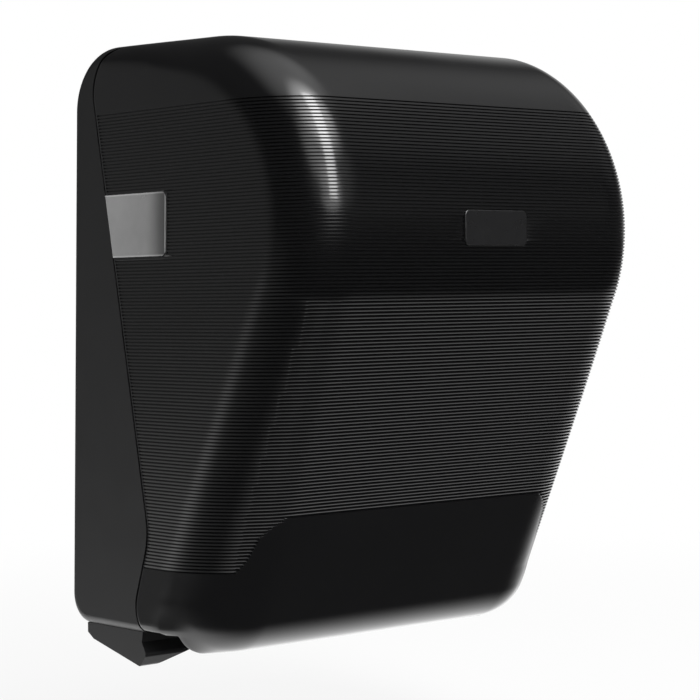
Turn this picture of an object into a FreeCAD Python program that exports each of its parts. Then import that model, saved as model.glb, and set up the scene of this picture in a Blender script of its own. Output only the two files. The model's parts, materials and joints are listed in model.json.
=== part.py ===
import FreeCAD, Part
import math
import os
import re
import Sketcher

# Autocut towel dispenser for a wall: rear chassis, drop-down front cover, roll holders and cutting drum.
# Millimetres. +Z up, the wall is the plane Y = 0, the front faces -Y, X = 0 is the middle of the width.
# Z = 0 is half way up the cover. Depth means distance from the wall, drop means distance below Z = 0.

SIZES = {
    # Outer form, shared by the cover and the chassis
    "half_width": 141.9,
    "side_draft": 1.575,
    "top_height": 184,
    "cover_drop": 184,
    "chassis_drop": 171,
    "dome_radius": 113,
    "dome_depth": 117,
    "front_lean": 24.1,
    "back_round": 38,
    "toe_round": 35,
    "foot_round": 18,
    "sill_round": 5,
    # Rounding of the long edge between side and front, from the wall round to the toe
    "edge_back": 6,
    "edge_top": 10,
    "edge_dome": 27,
    "edge_front": 38,
    "edge_toe": 50,
    "cover_wall": 3,
    "chassis_wall": 2.5,
    "back_wall": 3,
    # Seam between chassis and cover, seen from the side
    "seam_gap": 0.5,
    "seam_top_depth": 44,
    "seam_top_step": 1,
    "seam_round": 27,
    "seam_high_fall": 41,
    "seam_high_depth": 24,
    "seam_lean": 12.85,
    "seam_return": 17.7,
    "seam_waist_round": 40,
    "lobe_radius": 20,
    "mouth_depth": 101,
    # Cover hinge
    "hinge_depth": 90,
    "hinge_rise": 16,
    "hinge_pin_radius": 3,
    "hinge_play": 0.05,
    "hinge_pin_room": 25.9,
    "hinge_pin_length": 24,
    "ear_room": 22.9,
    "ear_width": 9,
    "ear_radius": 9,
    "ear_foot_depth": 48,
    "ear_foot_front": 74,
    "ear_foot_lean": 12,
    "cover_boss_radius": 8,
    "cover_boss_room": 11.9,
    # Sight window, one in each side of the cover
    "window_top": 93,
    "window_base": 54.3,
    "window_depth": 98,
    "window_corner": 4,
    "window_gap": 0.3,
    "window_flange": 4,
    "window_flange_wall": 1.5,
    # Bare plate on the front of the dome
    "badge_width": 51,
    "badge_height": 20.8,
    "badge_middle": 68.2,
    "badge_offset": 4,
    "badge_corner": 3.5,
    "badge_recess": 1.3,
    "badge_wall": 1.6,
    "badge_gap": 0.2,
    # Wall fixing
    "screw_span": 180,
    "screw_rise": 110,
    "wall_hole_radius": 2.75,
    # Lip below the chassis, behind the paper mouth
    "lip_overhang": 1.1,
    "lip_back_depth": 14,
    "lip_back_fall": 6,
    "lip_heel_depth": 20,
    "lip_heel_fall": 9.7,
    "lip_tip_depth": 69.6,
    "lip_tip_fall": 21.5,
    "lip_nose_depth": 75.4,
    "lip_nose_fall": 13.6,
    "lip_waist_depth": 71.2,
    "lip_waist_fall": 6.3,
    "lip_front_depth": 72.5,
    "lip_wall": 2.5,
    "lip_nose_round": 3,
    "lip_scoop_half": 82,
    "lip_scoop_run": 50,
    "lip_scoop_fall": 4.5,
    "lip_scoop_room": 8,
    # Mechanism frame
    "plate_room": 34.9,
    "plate_wall": 3,
    "plate_top_drop": 48,
    "plate_front_depth": 122,
    "plate_knee_drop": 105,
    "plate_foot_depth": 98,
    "plate_foot_drop": 151,
    "flange_width": 14,
    "flange_foot_step": 8,
    "flange_screw_top": 12,
    "flange_screw_foot": 22,
    "flange_wall": 3,
    # Cutting drum
    "drum_depth": 62,
    "drum_drop": 95,
    "drum_radius": 32,
    "drum_wall": 2.5,
    "drum_room": 7,
    "cap_wall": 3,
    "drum_slot": 9,
    "shaft_radius": 5,
    "shaft_past_left": 12,
    "shaft_past_right": 20,
    "running_play": 0.05,
    "bush_radius": 8,
    "bush_flange_radius": 11,
    "bush_flange_wall": 1.5,
    "bush_past": 4.5,
    "band_width": 12,
    "band_wall": 1,
    "band_play": 0.05,
    "band_count": 5,
    "band_margin": 10,
    # Blade and its carrier inside the drum
    "carrier_room": 4,
    "carrier_width": 6,
    "carrier_top": 6,
    "carrier_base": 19,
    "blade_wall": 1.2,
    "blade_inset": 2,
    "blade_top": 10,
    "blade_tip": 30.5,
    "tooth_pitch": 4,
    "tooth_height": 3,
    "blade_travel": 8,
    "follower_pin_radius": 2,
    "follower_pin_past": 1.5,
    "follower_side_play": 0.3,
    "follower_cap_play": 0.4,
    "guide_slot_play": 0.2,
    "guide_slot_room": 0.3,
    "follower_radius": 3.5,
    "follower_drop": 14,
    "cam_wall": 5,
    "cam_track_wall": 3,
    "cam_radius": 34,
    "track_play": 0.3,
    "blade_screw_pitch": 60,
    # Pressure roller and its bracket
    "nip_gap": 0.4,
    "roller_radius": 9,
    "roller_room": 6.5,
    "roller_shaft_radius": 2.5,
    "roller_shaft_past": 2,
    "arm_wall": 2.5,
    "arm_room": 3.5,
    "pivot_depth": 113,
    "pivot_drop": 62,
    "pivot_rod_radius": 3,
    "pivot_rod_past": 5,
    "arm_eye_radius": 7,
    "arm_eye_step": 1,
    "coil_inset": 1,
    "coil_play": 0.3,
    "bridge_wall": 2,
    "bridge_height": 14,
    "coil_radius": 4.6,
    "coil_length": 16,
    # Paper guide below the drum
    "guide_depth": 87,
    "guide_wall": 1.6,
    "guide_top_drop": 130,
    "guide_low_drop": 182,
    "guide_ledge": 14,
    # Feed wheel and return crank
    "wheel_radius": 21,
    "wheel_room": 6,
    "wheel_width": 12,
    "flute_count": 18,
    "flute_radius": 2.2,
    "crank_radius": 19,
    "crank_room": 6,
    "crank_wall": 4,
    "crank_throw": 14,
    "crank_pin_radius": 2,
    "crank_pin_length": 12,
    "spring_offset": 8.5,
    "spring_radius": 3.4,
    "spring_eye": 3,
    "post_depth": 20,
    "post_drop": 56,
    "post_radius": 2.5,
    "post_past": 18,
    "post_gap": 0.2,
    "spring_wire": 0.8,
    "hook_play": 0.2,
    "hook_bite": 0.6,
    "hook_past": 2,
    # Roll holders
    "holder_room": 29.9,
    "holder_wall": 4,
    "holder_base": 50,
    "holder_tip_radius": 15,
    "holder_flange_reach": 13,
    "holder_screw_rise": 16,
    "holder_screw_out": 7,
    "hub_radius": 18,
    "hub_reach": 12,
    "hub_flange_radius": 28,
    "hub_flange_wall": 2,
    "hub_wall": 2.5,
    "axle_radius": 5,
    "axle_head_radius": 7.5,
    "axle_head_wall": 2,
    "axle_head_play": 0.5,
    "holder_gap": 0.4,
    "knuckle_depth": 13,
    "knuckle_radius": 5,
    "knuckle_pin_radius": 2.5,
    "lug_wall": 4,
    "lug_plate_in": 15,
    "lug_plate_out": 12,
    "lug_screw_in": 8,
    # Lock in the top of the cover
    "lock_setback": 13,
    "housing_radius": 7,
    "plug_radius": 5,
    "housing_length": 17,
    "lock_nut_radius": 9,
    "lock_nut_wall": 4,
    "cam_thick": 2.5,
    "cam_reach": 27.5,
    "cam_arm_width": 9,
    "finger_wall": 3,
    "finger_fall": 28,
    "key_slot": 1.2,
    "key_depth": 9,
    "plug_sink": 0.3,
    "catch_half": 15,
    "catch_base_fall": 62,
    "catch_shelf_fall": 38,
    "catch_wall": 3,
    "catch_lip_fall": 21,
    "catch_play": 1.5,
    # Screws
    "screw_radius": 1.7,
    "screw_head_radius": 3.4,
    "screw_head_wall": 2.2,
    "screw_play": 0.05,
    "screw_skin": 0.8,
    "blade_head_radius": 2.6,
    "blade_head_wall": 1.2,
    "blade_shank_past": 1.4,
    # How far a cut runs past what it opens, and a joined form into its neighbour
    "cut_past": 1,
    "sink": 0.5,
}

# Places that follow from the sizes above
PLACES = {
    "seam_high": "top_height - seam_high_fall",
    "hinge_drop": "chassis_drop - hinge_rise",
    "hinge_pin_inner": "half_width - hinge_pin_room",
    "hinge_pin_outer": "hinge_pin_inner + hinge_pin_length",
    "ear_inner": "half_width - ear_room",
    "cover_boss_inner": "half_width - cover_boss_room",
    "lip_half_width": "half_width + lip_overhang",
    "lip_back_drop": "chassis_drop + lip_back_fall",
    "lip_heel_drop": "chassis_drop + lip_heel_fall",
    "lip_tip_drop": "chassis_drop + lip_tip_fall",
    "lip_nose_drop": "chassis_drop + lip_nose_fall",
    "lip_waist_drop": "chassis_drop + lip_waist_fall",
    "lip_scoop_foot": "lip_scoop_half + lip_scoop_run",
    "lip_scoop_drop": "chassis_drop + lip_scoop_fall",
    "lip_scoop_low": "lip_tip_drop + lip_scoop_room",
    "plate_inner": "half_width - plate_room",
    "drum_half": "plate_inner - drum_room",
    "shaft_reach_left": "plate_inner + shaft_past_left",
    "shaft_reach_right": "plate_inner + shaft_past_right",
    "bush_reach": "plate_inner + bush_past",
    "band_pitch": "(2 * (drum_half - band_margin) - band_width) / (band_count - 1)",
    "carrier_half": "drum_half - carrier_room",
    "blade_half": "carrier_half - blade_inset",
    "arm_outer": "plate_inner - arm_room",
    "roller_half": "arm_outer - roller_room",
    "roller_shaft_reach": "arm_outer + roller_shaft_past",
    "pivot_rod_reach": "plate_inner + pivot_rod_past",
    "wheel_inner": "plate_inner + wheel_room",
    "crank_inner": "plate_inner + crank_room",
    "crank_pin_reach": "crank_inner + crank_pin_length",
    "spring_plane": "crank_inner + spring_offset",
    "post_reach": "plate_inner + post_past",
    "roll_depth": "dome_depth",
    "roll_height": "top_height - dome_radius",
    "holder_inner": "half_width - holder_room",
    "lock_depth": "seam_top_depth + lock_setback",
    "lock_low": "top_height - housing_length",
    "finger_low": "top_height - finger_fall",
    "catch_low": "top_height - catch_base_fall",
    "catch_shelf": "top_height - catch_shelf_fall",
    "catch_lip": "top_height - catch_lip_fall",
}

doc = FreeCAD.newDocument("towel_dispenser")
sheet = doc.addObject("Spreadsheet::Sheet", "Sizes")
for row, (alias, value) in enumerate(SIZES.items(), start=1):
    sheet.set("A%d" % row, alias)
    sheet.set("B%d" % row, str(value))
    sheet.setAlias("B%d" % row, alias)
doc.recompute()

AXIS_TURNS = {
    "X": FreeCAD.Rotation(FreeCAD.Vector(0, 1, 0), 90),
    "Y": FreeCAD.Rotation(FreeCAD.Vector(1, 0, 0), -90),
    "Z": FreeCAD.Rotation(),
}
THIRD_AXIS = {"YZ": "x", "XZ": "y", "XY": "z"}
nodes = []


def bound(text):
    """The expression text with places spelled out and each size's name pointing at the sheet."""
    def spelled(match):
        name = match.group()
        if name in PLACES:
            return "(%s)" % bound(PLACES[name])
        return "Sizes." + name if name in SIZES else name
    return re.sub(r"[a-z_]+", spelled, text)


def number(text):
    """The value of an expression now."""
    return float(sheet.evalExpression(bound(text)))


def bind(thing, prop, text):
    thing.setExpression(prop, bound(text))


def node(thing, name):
    """Names a finished sub-part, which becomes one file."""
    thing.Label = name
    nodes.append(thing)
    return thing


def box(name, x, y, z):
    """A block between two expressions along each axis."""
    block = doc.addObject("Part::Box", name)
    for prop, side, span in (("Length", "x", x), ("Width", "y", y), ("Height", "z", z)):
        bind(block, prop, "(%s) - (%s)" % (span[1], span[0]))
        bind(block, "Placement.Base." + side, span[0])
    return block


def rod(name, axis, radius, span, centre):
    """A cylinder along an axis, with its centre given on the other two axes in order."""
    bar = doc.addObject("Part::Cylinder", name)
    bar.Placement = FreeCAD.Placement(FreeCAD.Vector(), AXIS_TURNS[axis])
    bind(bar, "Radius", radius)
    bind(bar, "Height", "(%s) - (%s)" % (span[1], span[0]))
    others = [side for side in "xyz" if side != axis.lower()]
    bind(bar, "Placement.Base." + axis.lower(), span[0])
    bind(bar, "Placement.Base." + others[0], centre[0])
    bind(bar, "Placement.Base." + others[1], centre[1])
    return bar


def prism(name, plane, outline, start, length):
    """A padded sketch: outline points on YZ, XZ or XY, from start along +X, -Y or +Z."""
    body = doc.addObject("PartDesign::Body", name)
    sketch = body.newObject("Sketcher::SketchObject", name + "_sketch")
    base = [f for f in body.Origin.OriginFeatures if f.Role == plane + "_Plane"][0]
    sketch.AttachmentSupport = [(base, "")]
    sketch.MapMode = "FlatFace"
    points = [FreeCAD.Vector(number(u), number(v), 0) for u, v in outline]
    count = len(points)
    for i in range(count):
        sketch.addGeometry(Part.LineSegment(points[i], points[(i + 1) % count]), False)
    for i in range(count):
        sketch.addConstraint(Sketcher.Constraint("Coincident", i, 2, (i + 1) % count, 1))
    for i, (u, v) in enumerate(outline):
        sides = (("DistanceX", -2, u, points[i].x), ("DistanceY", -1, v, points[i].y))
        for kind, line, text, value in sides:
            if text == "0":
                sketch.addConstraint(Sketcher.Constraint("PointOnObject", i, 1, line))
                continue
            index = sketch.addConstraint(Sketcher.Constraint(kind, -1, 1, i, 1, value))
            bind(sketch, "Constraints[%d]" % index, text)
    pad = body.newObject("PartDesign::Pad", name + "_pad")
    pad.Profile = sketch
    bind(pad, "Length", length)
    bind(body, "Placement.Base." + THIRD_AXIS[plane], start)
    return body


def join(name, parts):
    fused = doc.addObject("Part::MultiFuse", name)
    fused.Shapes = parts
    fused.Refine = True
    return fused


def group(name, parts):
    """Several separate solids under one name."""
    several = doc.addObject("Part::Compound", name)
    several.Links = parts
    return several


def cut(name, base, tools):
    cutter = tools[0] if len(tools) == 1 else join(name + "_tools", tools)
    rest = doc.addObject("Part::Cut", name)
    rest.Base = base
    rest.Tool = cutter
    rest.Refine = True
    return rest


def common(name, parts):
    shared = doc.addObject("Part::MultiCommon", name)
    shared.Shapes = parts
    shared.Refine = True
    return shared


def mirror(name, source):
    """The same piece on the other side of X = 0."""
    twin = doc.addObject("Part::Mirroring", name)
    twin.Source = source
    twin.Normal = FreeCAD.Vector(1, 0, 0)
    return twin


def rounded(name, base, radius, wanted):
    """Rounds the edges of base that wanted(edge) accepts."""
    doc.recompute()
    fillet = doc.addObject("Part::Fillet", name)
    fillet.Base = base
    size = number(radius)
    fillet.Edges = [(i, size, size) for i, e in enumerate(base.Shape.Edges, start=1) if wanted(e)]
    return fillet


def body_round(body, name, radius, y, z):
    """Rounds the edge of a padded profile that runs along X at (y, z)."""
    doc.recompute()
    last = body.Tip
    for i, edge in enumerate(last.Shape.Edges, start=1):
        middle = edge.CenterOfMass
        if abs(middle.y - number(y)) < 0.5 and abs(middle.z - number(z)) < 0.5:
            fillet = body.newObject("PartDesign::Fillet", name)
            fillet.Base = (last, ["Edge%d" % i])
            bind(fillet, "Radius", radius)
            body.Tip = fillet
            return fillet
    raise ValueError("no edge for " + name)


# Outer form

def front_depth(inset, height):
    """Depth of the leaning front plane at a height, for a form inset from the outer one."""
    reach = "(dome_radius - (%s)) / cos(front_lean)" % inset
    return "(dome_depth + %s + ((%s) - top_height + dome_radius) * tan(front_lean))" % (reach, height)


def side_reach(inset, height):
    """Half width between the drafted sides at a height."""
    return "(half_width - (%s) / cos(side_draft) - (%s) * tan(side_draft))" % (inset, height)


def drafted_block(name, profile, inset):
    """The part of a padded profile that lies between the drafted sides."""
    reach = "2 * top_height"
    low, high = side_reach(inset, "-" + reach), side_reach(inset, reach)
    sides = prism(name + "_sides", "XZ",
                  [("-" + low, "-" + reach), (low, "-" + reach), (high, reach), ("-" + high, reach)],
                  "2 * dome_depth", "4 * dome_depth")
    return common(name + "_block", [profile, sides])


def round_sides(name, block, stations, inset):
    """Rounds the long side edges by a radius that changes from one station (y, z, radius) to the next."""
    doc.recompute()
    places = []
    for y, z, radius in stations:
        places.append((number(y), number(z), max(number("%s - (%s)" % (radius, inset)), 1.0)))
    edges = []
    for i, edge in enumerate(block.Shape.Edges, start=1):
        ends = [v.Point for v in edge.Vertexes]
        if len(ends) != 2 or ends[0].x * ends[1].x <= 0:
            continue
        sizes = [r for end in ends for y, z, r in places if math.hypot(end.y - y, end.z - z) < 1]
        if len(sizes) == 2:
            edges.append((i, sizes[0], sizes[1]))
    corners = doc.addObject("Part::Fillet", name + "_corners")
    corners.Base = block
    corners.Edges = edges
    return corners


def front_form(name, inset, back_inset, base):
    """The rounded solid inside the outer skin, inset all round: dome, leaning front and toe."""
    top = "(top_height - (%s))" % inset
    far_top = "-" + front_depth(inset, top)
    far_base = "-" + front_depth(inset, base)
    back = "-(%s)" % back_inset if back_inset != "0" else "0"
    profile = prism(name + "_profile", "YZ", [(back, base), (back, top), (far_top, top), (far_base, base)],
                    "-2 * half_width", "4 * half_width")
    dome = "(dome_radius - (%s))" % inset
    body_round(profile, name + "_dome", dome, far_top, top)
    body_round(profile, name + "_shoulder", "back_round - (%s)" % inset, back, top)
    corners = round_sides(name, drafted_block(name, profile, inset), [
        (back, "top_height - back_round", "edge_back"),
        ("-back_round", top, "edge_top"),
        ("-dome_depth", top, "edge_dome"),
        ("-dome_depth - %s * cos(front_lean)" % dome,
         "top_height - dome_radius - %s * sin(front_lean)" % dome, "edge_front"),
        (far_base, base, "edge_toe"),
    ], inset)
    floor, wall = number(base) + 0.5, number(back) - 0.1
    return rounded(name, corners, "toe_round - (%s)" % inset,
                   lambda e: e.BoundBox.ZMax < floor and not e.BoundBox.YMin > wall)


def rear_form(name, inset, back_inset, base):
    """The rounded solid of the rear half, which matches the front form as far as the roll's centre."""
    top = "(top_height - (%s))" % inset
    back = "-(%s)" % back_inset if back_inset != "0" else "0"
    profile = prism(name + "_profile", "YZ",
                    [(back, base), (back, top), ("-dome_depth", top), ("-dome_depth", base)],
                    "-2 * half_width", "4 * half_width")
    body_round(profile, name + "_shoulder", "back_round - (%s)" % inset, back, top)
    body_round(profile, name + "_foot", "foot_round - (%s)" % back_inset, back, base)
    return round_sides(name, drafted_block(name, profile, inset), [
        ("-dome_depth", top, "edge_dome"),
        ("-back_round", top, "edge_top"),
        (back, "top_height - back_round", "edge_back"),
        (back, base + " + foot_round - (%s)" % back_inset, "edge_back"),
        ("-foot_round", base, "sill_round"),
        ("-dome_depth", base, "sill_round"),
    ], inset)


def seam_region(name, grow):
    """Everything in front of the seam, grown backwards by a gap."""
    slope = "tan(seam_lean)"
    line_depth = "(seam_high_depth - (%s) / cos(seam_lean))" % grow
    top = "(top_height - seam_top_step + (%s))" % grow
    lobe = "(lobe_radius + (%s))" % grow
    level = "(hinge_depth - %s - seam_high * %s)" % (line_depth, slope)
    waist = ("((%s - %s * cos(seam_return) - hinge_drop * sin(seam_return))"
             " / (%s * cos(seam_return) + sin(seam_return)))" % (lobe, level, slope))
    waist_depth = "(%s + (seam_high - %s) * %s)" % (line_depth, waist, slope)
    crown_depth = "(%s + (seam_high - %s) * %s)" % (line_depth, top, slope)
    far = "4 * dome_depth"
    deep = "-(cover_drop + 2 * lobe_radius)"
    outline = [
        ("-" + far, top),
        ("-" + crown_depth, top),
        ("-" + waist_depth, waist),
        ("-(hinge_depth - %s * cos(seam_return))" % lobe, "-(hinge_drop - %s * sin(seam_return))" % lobe),
        ("-hinge_depth", "-hinge_drop"),
        ("-mouth_depth", "-hinge_drop"),
        ("-mouth_depth", deep),
        ("-" + far, deep),
    ]
    start, length = "-2 * half_width", "4 * half_width"
    profile = prism(name + "_profile", "YZ", outline, start, length)
    body_round(profile, name + "_crown", "seam_round + (%s)" % grow, "-" + crown_depth, top)
    body_round(profile, name + "_waist", "seam_waist_round", "-" + waist_depth, waist)
    span = (start, "2 * half_width")
    disc = rod(name + "_disc", "X", lobe, span, ("-hinge_depth", "-hinge_drop"))
    disc_top = box(name + "_disc_top", span, ("-2 * mouth_depth", "0"),
                   ("-chassis_drop - (%s)" % grow, "0"))
    lobe_part = common(name + "_lobe", [disc, disc_top])
    cheek = box(name + "_cheek", span, ("-mouth_depth - cut_past", "-hinge_depth"),
                ("-chassis_drop - (%s)" % grow, "-hinge_drop"))
    cap = box(name + "_cap", span, ("-" + far, "-seam_top_depth + (%s)" % grow),
              ("top_height - seam_round", "2 * top_height"))
    return join(name, [profile, lobe_part, cheek, cap])


outer = front_form("outer_form", "0", "0", "-cover_drop")
inner = front_form("inner_form", "cover_wall", "cover_wall", "-cover_drop + cover_wall")
liner = front_form("liner_form", "cover_wall + window_flange_wall", "cover_wall",
                   "-cover_drop + 2 * cover_wall")
shell = cut("cover_shell", outer, [inner])
region = seam_region("cover_region", "0")


# Front cover with its windows and bare plate

def window_box(name, grow):
    """Block through the right side of the cover, as large as the window grown by an expression."""
    return box(name, ("0", "2 * half_width"), ("-window_depth - (%s)" % grow, "-seam_high_depth"),
               ("window_base - (%s)" % grow, "window_top + (%s)" % grow))


def upright_front(edge):
    """True for a window block's two long edges at its front corners."""
    return edge.Length > number("half_width") and edge.CenterOfMass.y < -number("window_depth") + 6


hole = rounded("window_hole", window_box("window_hole_block", "0"), "window_corner", upright_front)
pane_block = rounded("pane_block", window_box("pane_block_box", "-window_gap"),
                     "window_corner - window_gap", upright_front)
flange_block = rounded("pane_flange_block", window_box("pane_flange_box", "window_flange"), "window_corner",
                       upright_front)
pane_plug = common("pane_plug", [shell, region, pane_block])
pane_skin = cut("pane_skin", inner, [liner])
pane_flange = common("pane_flange", [pane_skin, region, flange_block])
pane = node(join("pane_right", [pane_plug, pane_flange]), "sight_window_right")
node(mirror("pane_left", pane), "sight_window_left")

badge_y = "-(dome_depth + dome_radius)"


def badge_plate(name, gap, back, front):
    half, tall = "(badge_width / 2 + (%s))" % gap, "(badge_height / 2 + (%s))" % gap
    plate = box(name + "_box", ("badge_offset - " + half, "badge_offset + " + half), (front, back),
                ("badge_middle - " + tall, "badge_middle + " + tall))
    return rounded(name, plate, "badge_corner", lambda e: abs(e.tangentAt(e.FirstParameter).y) > 0.9)


badge_recess = badge_plate("badge_seat", "badge_gap", badge_y + " + badge_recess", badge_y + " - 5")
node(badge_plate("badge", "0", badge_y + " + badge_recess", badge_y + " + badge_recess - badge_wall"),
     "badge_plate")

boss = rod("cover_boss", "X", "cover_boss_radius", ("cover_boss_inner", "2 * half_width"),
           ("-hinge_depth", "-hinge_drop"))
boss_right = common("cover_boss_right", [outer, boss])
boss_left = mirror("cover_boss_left", boss_right)
boss_bore = rod("cover_boss_bore", "X", "hinge_pin_radius + hinge_play",
                ("-hinge_pin_outer - sink", "hinge_pin_outer + sink"), ("-hinge_depth", "-hinge_drop"))
lock_hole = rod("lock_hole", "Z", "housing_radius + screw_play", ("lock_low", "2 * top_height"),
                ("0", "-lock_depth"))
skin = common("cover_skin", [shell, region])
bossed = join("cover_bossed", [skin, boss_right, boss_left])
holes = [hole, mirror("window_hole_left", hole), badge_recess, boss_bore, lock_hole]
node(cut("cover", bossed, holes), "front_cover")


# Rear chassis

chassis_outer = rear_form("chassis_form", "0", "0", "-chassis_drop")
chassis_inner = rear_form("chassis_hollow", "chassis_wall", "back_wall", "-chassis_drop + chassis_wall")
grown = seam_region("chassis_region", "seam_gap")
tray = cut("chassis_tray", chassis_outer, [chassis_inner, grown])
floor_z = "(-chassis_drop + chassis_wall)"
ear_disc = rod("ear_disc", "X", "ear_radius", ("ear_inner", "ear_inner + ear_width"),
               ("-hinge_depth", "-hinge_drop"))
ear_foot = prism("ear_foot", "YZ", [
    ("-ear_foot_depth", floor_z + " - sink"),
    ("-ear_foot_front", floor_z + " - sink"),
    ("-hinge_depth", "-hinge_drop - ear_radius"),
    ("-hinge_depth", "-hinge_drop + ear_radius"),
    ("-ear_foot_depth - ear_foot_lean", "-hinge_drop + ear_radius"),
], "ear_inner", "ear_width")
ear_right = join("ear_right", [ear_disc, ear_foot])
ear_left = mirror("ear_left", ear_right)
ear_bore = rod("ear_bore", "X", "hinge_pin_radius + hinge_play", ("-hinge_pin_outer", "hinge_pin_outer"),
               ("-hinge_depth", "-hinge_drop"))
wall_holes = []
for side in ("-", ""):
    for level in ("screw_rise", "-screw_rise"):
        wall_holes.append(rod("wall_hole", "Y", "wall_hole_radius", ("-2 * back_wall", "back_wall"),
                              (side + "screw_span / 2", level)))


def screw_axis_points():
    """Places on the back wall of the screws that hold the frame plates, holders and catch."""
    points = []
    for side in ("-", ""):
        for drop in ("plate_top_drop + flange_screw_top", "plate_foot_drop - flange_screw_foot"):
            beside = "(plate_inner + plate_wall + flange_width / 2 + cut_past)"
            points.append((side + beside, "-(%s)" % drop))
    for rise in ("-holder_screw_rise", "holder_screw_rise"):
        points.append(("-(holder_inner + holder_wall + holder_screw_out)", "roll_height + " + rise))
        points.append(("(holder_inner - lug_screw_in)", "roll_height + " + rise))
    for side in ("-", ""):
        points.append((side + "catch_half / 2", "(catch_low + catch_shelf) / 2"))
    return points


def screw_bore(name, point, front):
    """Hole for a back wall screw, blind in the wall."""
    return rod(name, "Y", "screw_radius + screw_play", (front, "-screw_skin + screw_play"), point)


screw_points = screw_axis_points()
pilot_holes = [screw_bore("pilot", p, "-2 * back_wall") for p in screw_points]
bossed_tray = join("chassis_bossed", [tray, ear_right, ear_left])
node(cut("chassis", bossed_tray, wall_holes + pilot_holes + [ear_bore]), "rear_chassis")


# Lip below the chassis: the back edge of the paper mouth

lip_outline = [
    ("-lip_back_depth", "-chassis_drop"),
    ("-lip_back_depth", "-lip_back_drop"),
    ("-lip_heel_depth", "-lip_heel_drop"),
    ("-lip_tip_depth", "-lip_tip_drop"),
    ("-lip_nose_depth", "-lip_nose_drop"),
    ("-lip_waist_depth", "-lip_waist_drop"),
    ("-lip_front_depth", "-chassis_drop"),
]
lip_body = prism("lip_block", "YZ", lip_outline, "-lip_half_width", "2 * lip_half_width")
body_round(lip_body, "lip_tip_round", "lip_nose_round", "-lip_tip_depth", "-lip_tip_drop")
body_round(lip_body, "lip_nose_soft", "lip_nose_round", "-lip_nose_depth", "-lip_nose_drop")
lip_hollow = prism("lip_hollow", "YZ", [
    ("-lip_back_depth - lip_wall", "0"),
    ("-lip_back_depth - lip_wall", "-lip_back_drop + lip_wall / 2"),
    ("-lip_heel_depth - lip_wall / 2", "-lip_heel_drop + lip_wall"),
    ("-lip_tip_depth", "-lip_tip_drop + lip_wall + cut_past"),
    ("-lip_waist_depth + lip_wall + cut_past", "-chassis_drop - lip_wall"),
    ("-lip_waist_depth + lip_wall + cut_past", "0"),
], "-lip_half_width + lip_wall", "2 * (lip_half_width - lip_wall)")


def lip_scoop(name, rise):
    """The hand room under the middle of the lip, raised by an expression to hollow the lip above it."""
    return prism(name, "XZ", [
        ("-lip_scoop_foot", "-lip_tip_drop + " + rise),
        ("-lip_scoop_half", "-lip_scoop_drop + " + rise),
        ("lip_scoop_half", "-lip_scoop_drop + " + rise),
        ("lip_scoop_foot", "-lip_tip_drop + " + rise),
        ("lip_scoop_foot", "-lip_scoop_low"),
        ("-lip_scoop_foot", "-lip_scoop_low"),
    ], "0", "2 * lip_nose_depth")


lip_scooped = cut("lip_scooped", lip_body, [lip_scoop("scoop", "0")])
lip_room = cut("lip_room", lip_hollow, [lip_scoop("scoop_room", "lip_wall")])
node(cut("lip", lip_scooped, [lip_room]), "exit_lip")


# Frame plates that carry the cutting drum

plate_outline = [
    ("-back_wall", "-plate_top_drop"),
    ("-back_wall", "-plate_foot_drop"),
    ("-plate_foot_depth", "-plate_foot_drop"),
    ("-plate_front_depth", "-plate_knee_drop"),
    ("-plate_front_depth", "-plate_top_drop"),
]
drum_centre = ("-drum_depth", "-drum_drop")
pivot_centre = ("-pivot_depth", "-pivot_drop")
plate_outer = "plate_inner + plate_wall"
plate_sheet = prism("plate_sheet", "YZ", plate_outline, "plate_inner", "plate_wall")
plate_flange = box("plate_flange", ("plate_inner", plate_outer + " + flange_width"),
                   ("-back_wall - flange_wall", "-back_wall"),
                   ("-plate_foot_drop + flange_foot_step", "-plate_top_drop"))
plate_blank = join("plate_blank", [plate_sheet, plate_flange])
plate_bores = [
    rod("plate_bush_bore", "X", "bush_radius", ("0", "2 * plate_inner"), drum_centre),
    rod("plate_rod_bore", "X", "pivot_rod_radius + screw_play", ("0", "2 * plate_inner"), pivot_centre),
]
right_pilots = [screw_bore("plate_pilot", p, "-3 * back_wall") for p in screw_points[2:4]]
plate_right = node(cut("plate_right", plate_blank, plate_bores + right_pilots), "frame_plate_right")
plate_left_blank = mirror("plate_left_blank", plate_right)
post_bore = rod("post_bore", "X", "post_radius", ("-2 * plate_inner", "0"), ("-post_depth", "-post_drop"))
node(cut("plate_left", plate_left_blank, [post_bore]), "frame_plate_left")

# Flanged bushes for the drum's shaft ends
bush_body = rod("bush_body", "X", "bush_radius", ("plate_inner", "bush_reach"), drum_centre)
bush_flange = rod("bush_flange", "X", "bush_flange_radius", ("plate_inner - bush_flange_wall", "plate_inner"),
                  drum_centre)
bush_bore = rod("bush_bore", "X", "shaft_radius + running_play", ("0", "2 * plate_inner"), drum_centre)
bush = node(cut("bush_right", join("bush_blank", [bush_body, bush_flange]), [bush_bore]), "drum_bush_right")

# The left bush has no flange, because the blade cam's ring lies there
bush_left_body = rod("bush_left_body", "X", "bush_radius", ("-bush_reach", "-plate_inner + cam_wall"),
                     drum_centre)
bush_left_bore = rod("bush_left_bore", "X", "shaft_radius + running_play", ("-2 * plate_inner", "0"),
                     drum_centre)
node(cut("bush_left", bush_left_body, [bush_left_bore]), "drum_bush_left")


# Cutting drum: shell with a slot, end caps with stub shafts, grip bands

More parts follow.
